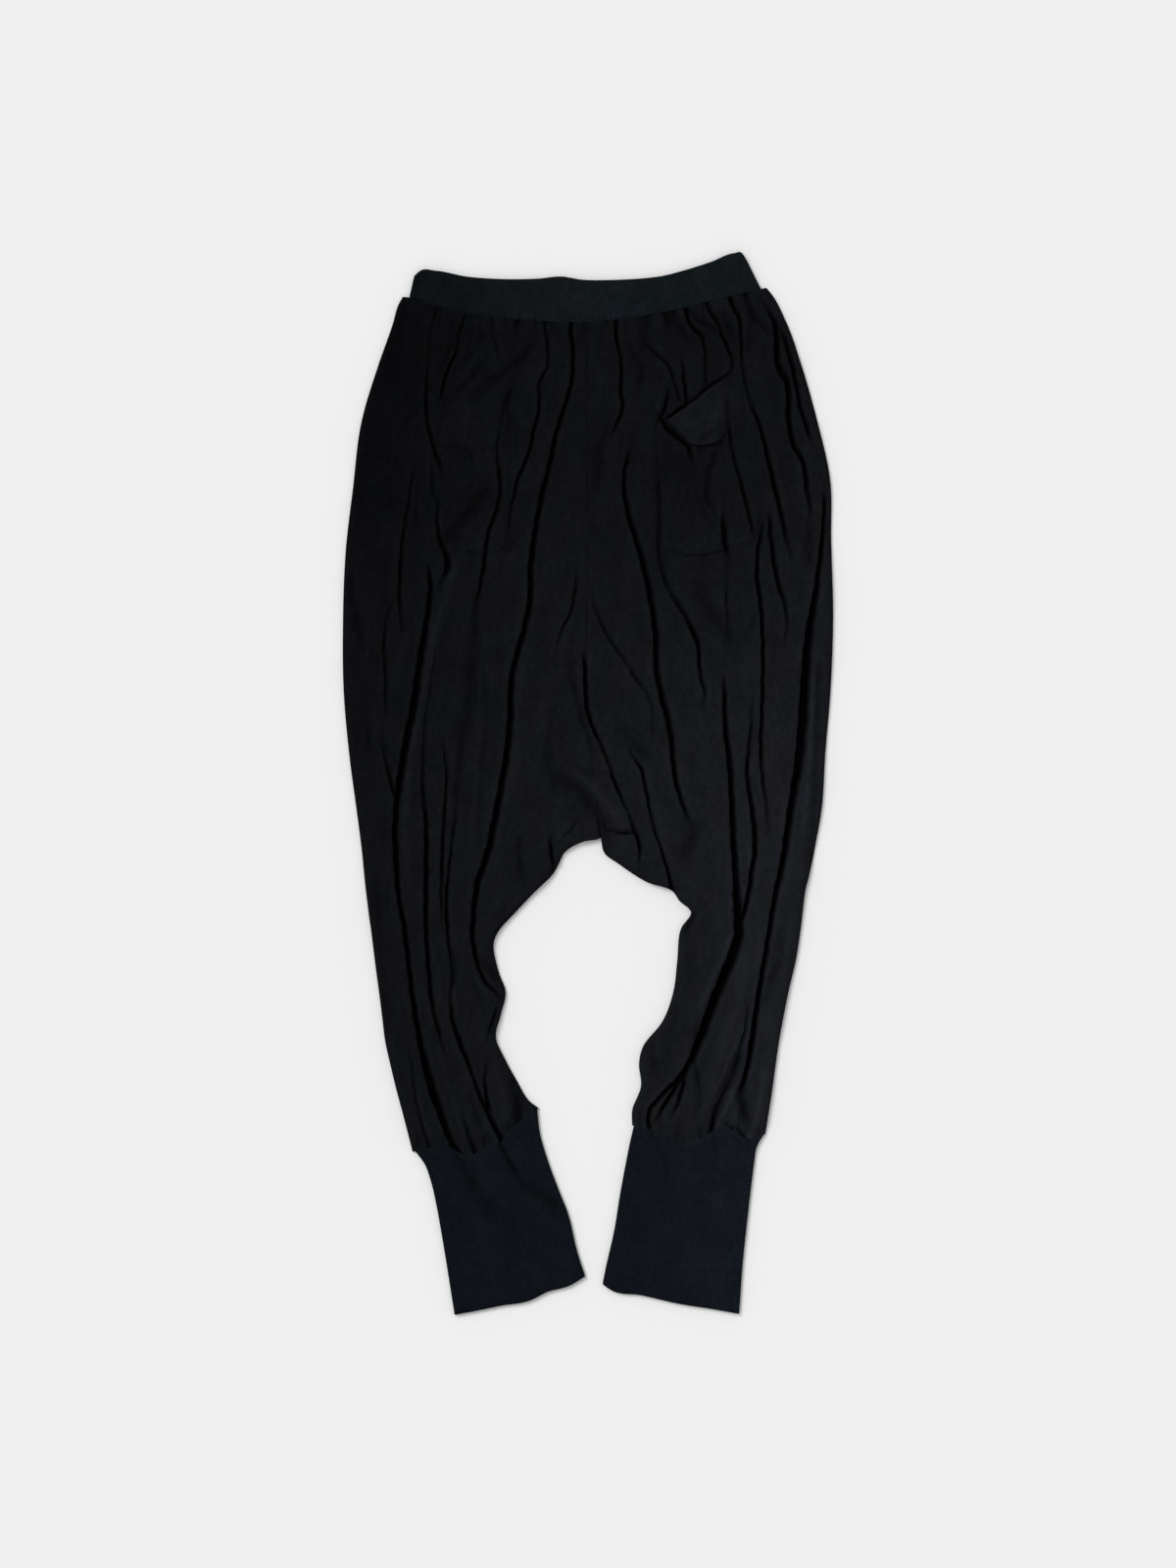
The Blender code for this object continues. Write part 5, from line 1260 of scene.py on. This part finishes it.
def pocket_stitching(side, pocket, top):
    """Stitches along a pocket's sides and foot, and below its hem if it has one."""
    rows, columns = top.shape[:2]
    c = round(STITCH_INSET / POCKET_COLUMN_STEP)
    r = max(2, round(STITCH_INSET / POCKET_ROW_STEP))
    lines = [top[2:rows - r, c], top[rows - 1 - r, c:columns - c], top[2:rows - r, columns - 1 - c]]
    if pocket.hem:
        lines.append(top[round((pocket.hem - HEM_INSET) / POCKET_ROW_STEP), c:columns - c])
    points = np.concatenate([stitch_line(line) for line in lines])
    index = np.arange(points[..., 0].size).reshape(points.shape[:3])
    index = np.concatenate([index, index[..., :1]], axis=2)
    faces = np.concatenate([quads(stitch) for stitch in index])
    dark, tone = np.zeros(points[..., 0].size), np.full(points[..., 0].size, STITCH_TONE)
    mesh = make_mesh(f"pocket_{side}_stitching", points, faces, points[..., :2], dark, tone)
    return add_piece(mesh, cloth, "cloth")


# ---------------------------------------------------------------- rib tubes
def oval(wide, high, turn, ribbing):
    """Places across and up a flattened ring with ribs, from its upper left on, and how far each faces up."""
    bend = high / 2
    flat = wide - high
    half = flat + math.pi * bend
    place = turn * 2 * half
    back = place >= half
    place = place - half * back
    on_flat = np.minimum(place, flat)
    angle = (place - on_flat) / bend
    side = np.where(back, -1, 1)
    normal_x, normal_z = side * np.sin(angle), side * np.cos(angle)
    middle = bend + np.where(back, flat - on_flat, on_flat)
    out = bend + ribbing
    return middle + normal_x * out, bend + normal_z * out, np.clip(normal_z, 0, 1)


def tube(name, knit, edges, seams, height, pinches, creases, tones):
    """Flattened rib tube: ribbed outside all round, turned in at both ends."""
    width = row_widths(edges)
    rows = len(edges)
    mean = 2 * (width.mean() - height) + math.pi * height
    ribs = 2 * round(mean / RIB_PITCH / 2)
    turn = np.arange(ribs * RIB_POINTS) / (ribs * RIB_POINTS)
    ribbing = RIB_RELIEF * (0.5 + 0.5 * np.cos(2 * math.pi * ribs * turn)) ** RIB_POWER
    down = np.arange(rows) / (rows - 1)
    length = math.dist(edges[-1, :2], edges[0, :2])
    tall = height
    for pinch, share in zip(pinches, (down, 1 - down)):
        tall = tall * (1 - (1 - pinch) * (1 - roll(share * length, PINCH_RUN)))

    def rings(used, inset, relief_share):
        """Points of the rings at some of the rows, and their painted shade in the creases, less the painted
        light along the seams.
        """
        wide, high = ((size[used] - 2 * inset)[:, None] for size in (width, tall))
        over, up, facing = oval(wide, high, turn, ribbing * relief_share)
        share = (inset + over) / width[used][:, None]
        x, y = between(edges[used], share)
        for end, seam, gap, near in (
            (edges[:1], seams[0], -SEAM_GAP / 2, 1 - down),
            (edges[-1:], seams[1], SEAM_GAP / 2, down),
        ):
            end_x, end_y = between(end, share)
            y = y + (line_y(seam, end_x) + gap - end_y) * near[used][:, None] ** TUBE_HOLD
        z = RIB_RELIEF + TUBE_CLEAR + (height - tall[used])[:, None] * PINCH_LIFT + inset + up
        press, _ = soft_relief(creases, x, y)
        sunk = CREASE_MOST * np.tanh(press / CREASE_MOST)
        # painted shade in the creases, less painted light along the seams
        return grid_of(x, y, z - sunk * facing), SOFT_PAINTED_SHADE * press * facing - seam_painted_light(x, y)

    outside, crease_shade_and_seam_light = rings(np.arange(rows), 0.0, 1.0)
    ends, _ = rings([0, -1], END_INSET, END_RELIEF)
    inside, _ = rings(sorted({0, rows - 1, *range(1, rows - 1, INSIDE_SKIP)}, reverse=True), TUBE_WALL, 0.0)
    push = np.array([0, END_PUSH, 0])
    grid = np.concatenate([ends[:1] + push, outside, ends[1:] - push, inside])
    index = np.pad(np.arange(grid[..., 0].size).reshape(grid.shape[:2]), (0, 1), mode="wrap")
    cut = np.stack([np.broadcast_to(turn * mean, grid.shape[:2]), grid[..., 1]], axis=-1)
    # painted shade in the rib furrows and creases, less the painted seam light
    painted_shade = np.tile(RIB_PAINTED_SHADE * (1 - ribbing / RIB_RELIEF), (len(grid), 1))
    painted_shade[1:1 + rows] += crease_shade_and_seam_light
    mesh = make_mesh(name, grid, quads(index), cut, painted_shade, line_y(tones, grid[..., 0]))
    return add_piece(mesh, knit, "rib", name.removesuffix("_knit"))


def cuff(side, sections, seams, tones):
    table = np.array(sections, float)
    knots, rows = section_rows(table, TUBE_STEP)
    edges = smooth_line(knots, table, rows)
    if side == "right":
        edges = edges[:, [2, 3, 0, 1]]
    return tube(f"cuff_{side}_knit", cuff_knit, edges, seams, CUFF_HEIGHT, CUFF_PINCHES, CUFF_TRACKS, tones)


def waistband():
    left, right = BAND_ENDS
    top = np.array([[*BAND_TOP[0], *BAND_TOP[-1]]], float)
    foot = np.array([[left, line_y(WAIST_SEAM, left), right, line_y(WAIST_SEAM, right)]], float)
    edges = top + (foot - top) * np.linspace(0, 1, BAND_ROWS)[:, None]
    seams = (BAND_TOP, WAIST_SEAM)
    return tube("waistband_knit", band_knit, edges, seams, BAND_HEIGHT, BAND_PINCHES, [], BAND_TONES)


# What each leg's panels are made from: the side, the sections and the cuff's seam
SIDES = (("left", LEFT_SECTIONS, LEFT_CUFF_SEAM), ("right", RIGHT_SECTIONS, RIGHT_CUFF_SEAM))
back_left, back_right = (back_panel(*side) for side in SIDES)
front_left, front_right = (front_panel(*side) for side in SIDES)
pocket_left, left_top = pocket_piece("left", LEFT_POCKET)
pocket_right, right_top = pocket_piece("right", RIGHT_POCKET)
flap = flap_piece()
cuff_left = cuff("left", LEFT_CUFF, (LEFT_CUFF_SEAM, LEFT_HEM), LEFT_CUFF_TONES)
cuff_right = cuff("right", RIGHT_CUFF, (RIGHT_CUFF_SEAM, RIGHT_HEM), RIGHT_CUFF_TONES)
band = waistband()
stitch_left = pocket_stitching("left", LEFT_POCKET, left_top)
stitch_right = pocket_stitching("right", RIGHT_POCKET, right_top)

# ---------------------------------------------------------------- floor, light and camera
floor_mesh = bpy.data.meshes.new("floor")
corners = [(x * FLOOR_HALF, y * FLOOR_HALF, 0) for x, y in ((-1, -1), (1, -1), (1, 1), (-1, 1))]
floor_mesh.from_pydata(corners, [], [(0, 1, 2, 3)])
floor = bpy.data.objects.new("floor", floor_mesh)
bpy.context.scene.collection.objects.link(floor)
paper = bpy.data.materials.new("pale_paper")
paper.use_nodes = True
paper_shader = paper.node_tree.nodes["Principled BSDF"]
paper_shader.inputs["Base Color"].default_value = (FLOOR_COLOUR, FLOOR_COLOUR, FLOOR_COLOUR, 1.0)
paper_shader.inputs["Roughness"].default_value = 1.0
paper_shader.inputs["Specular IOR Level"].default_value = 0.0
floor_mesh.materials.append(paper)

world = bpy.data.worlds.new("studio")
world.use_nodes = True
world.node_tree.nodes["Background"].inputs["Color"].default_value = (1, 1, 1, 1)
world.node_tree.nodes["Background"].inputs["Strength"].default_value = WORLD_LIGHT
bpy.context.scene.world = world

sun_data = bpy.data.lights.new("soft_sun", "SUN")
sun_data.angle = math.radians(SUN_ANGLE)
sun_data.energy = math.pi * SUN_LIGHT / math.cos(math.radians(SUN_TILT))
sun = bpy.data.objects.new("soft_sun", sun_data)
sun.rotation_euler = (math.radians(SUN_TILT), 0, math.radians(SUN_FROM + 90))
bpy.context.scene.collection.objects.link(sun)

camera_data = bpy.data.cameras.new("camera")
camera_data.type = "PERSP"
camera_data.lens = CAMERA_LENS
camera_data.clip_end = CAMERA_REACH
camera = bpy.data.objects.new("camera", camera_data)
camera.location = (0, 0, CAMERA_HEIGHT)
bpy.context.scene.collection.objects.link(camera)
bpy.context.scene.camera = camera
bpy.context.scene.view_settings.view_transform = "Standard"
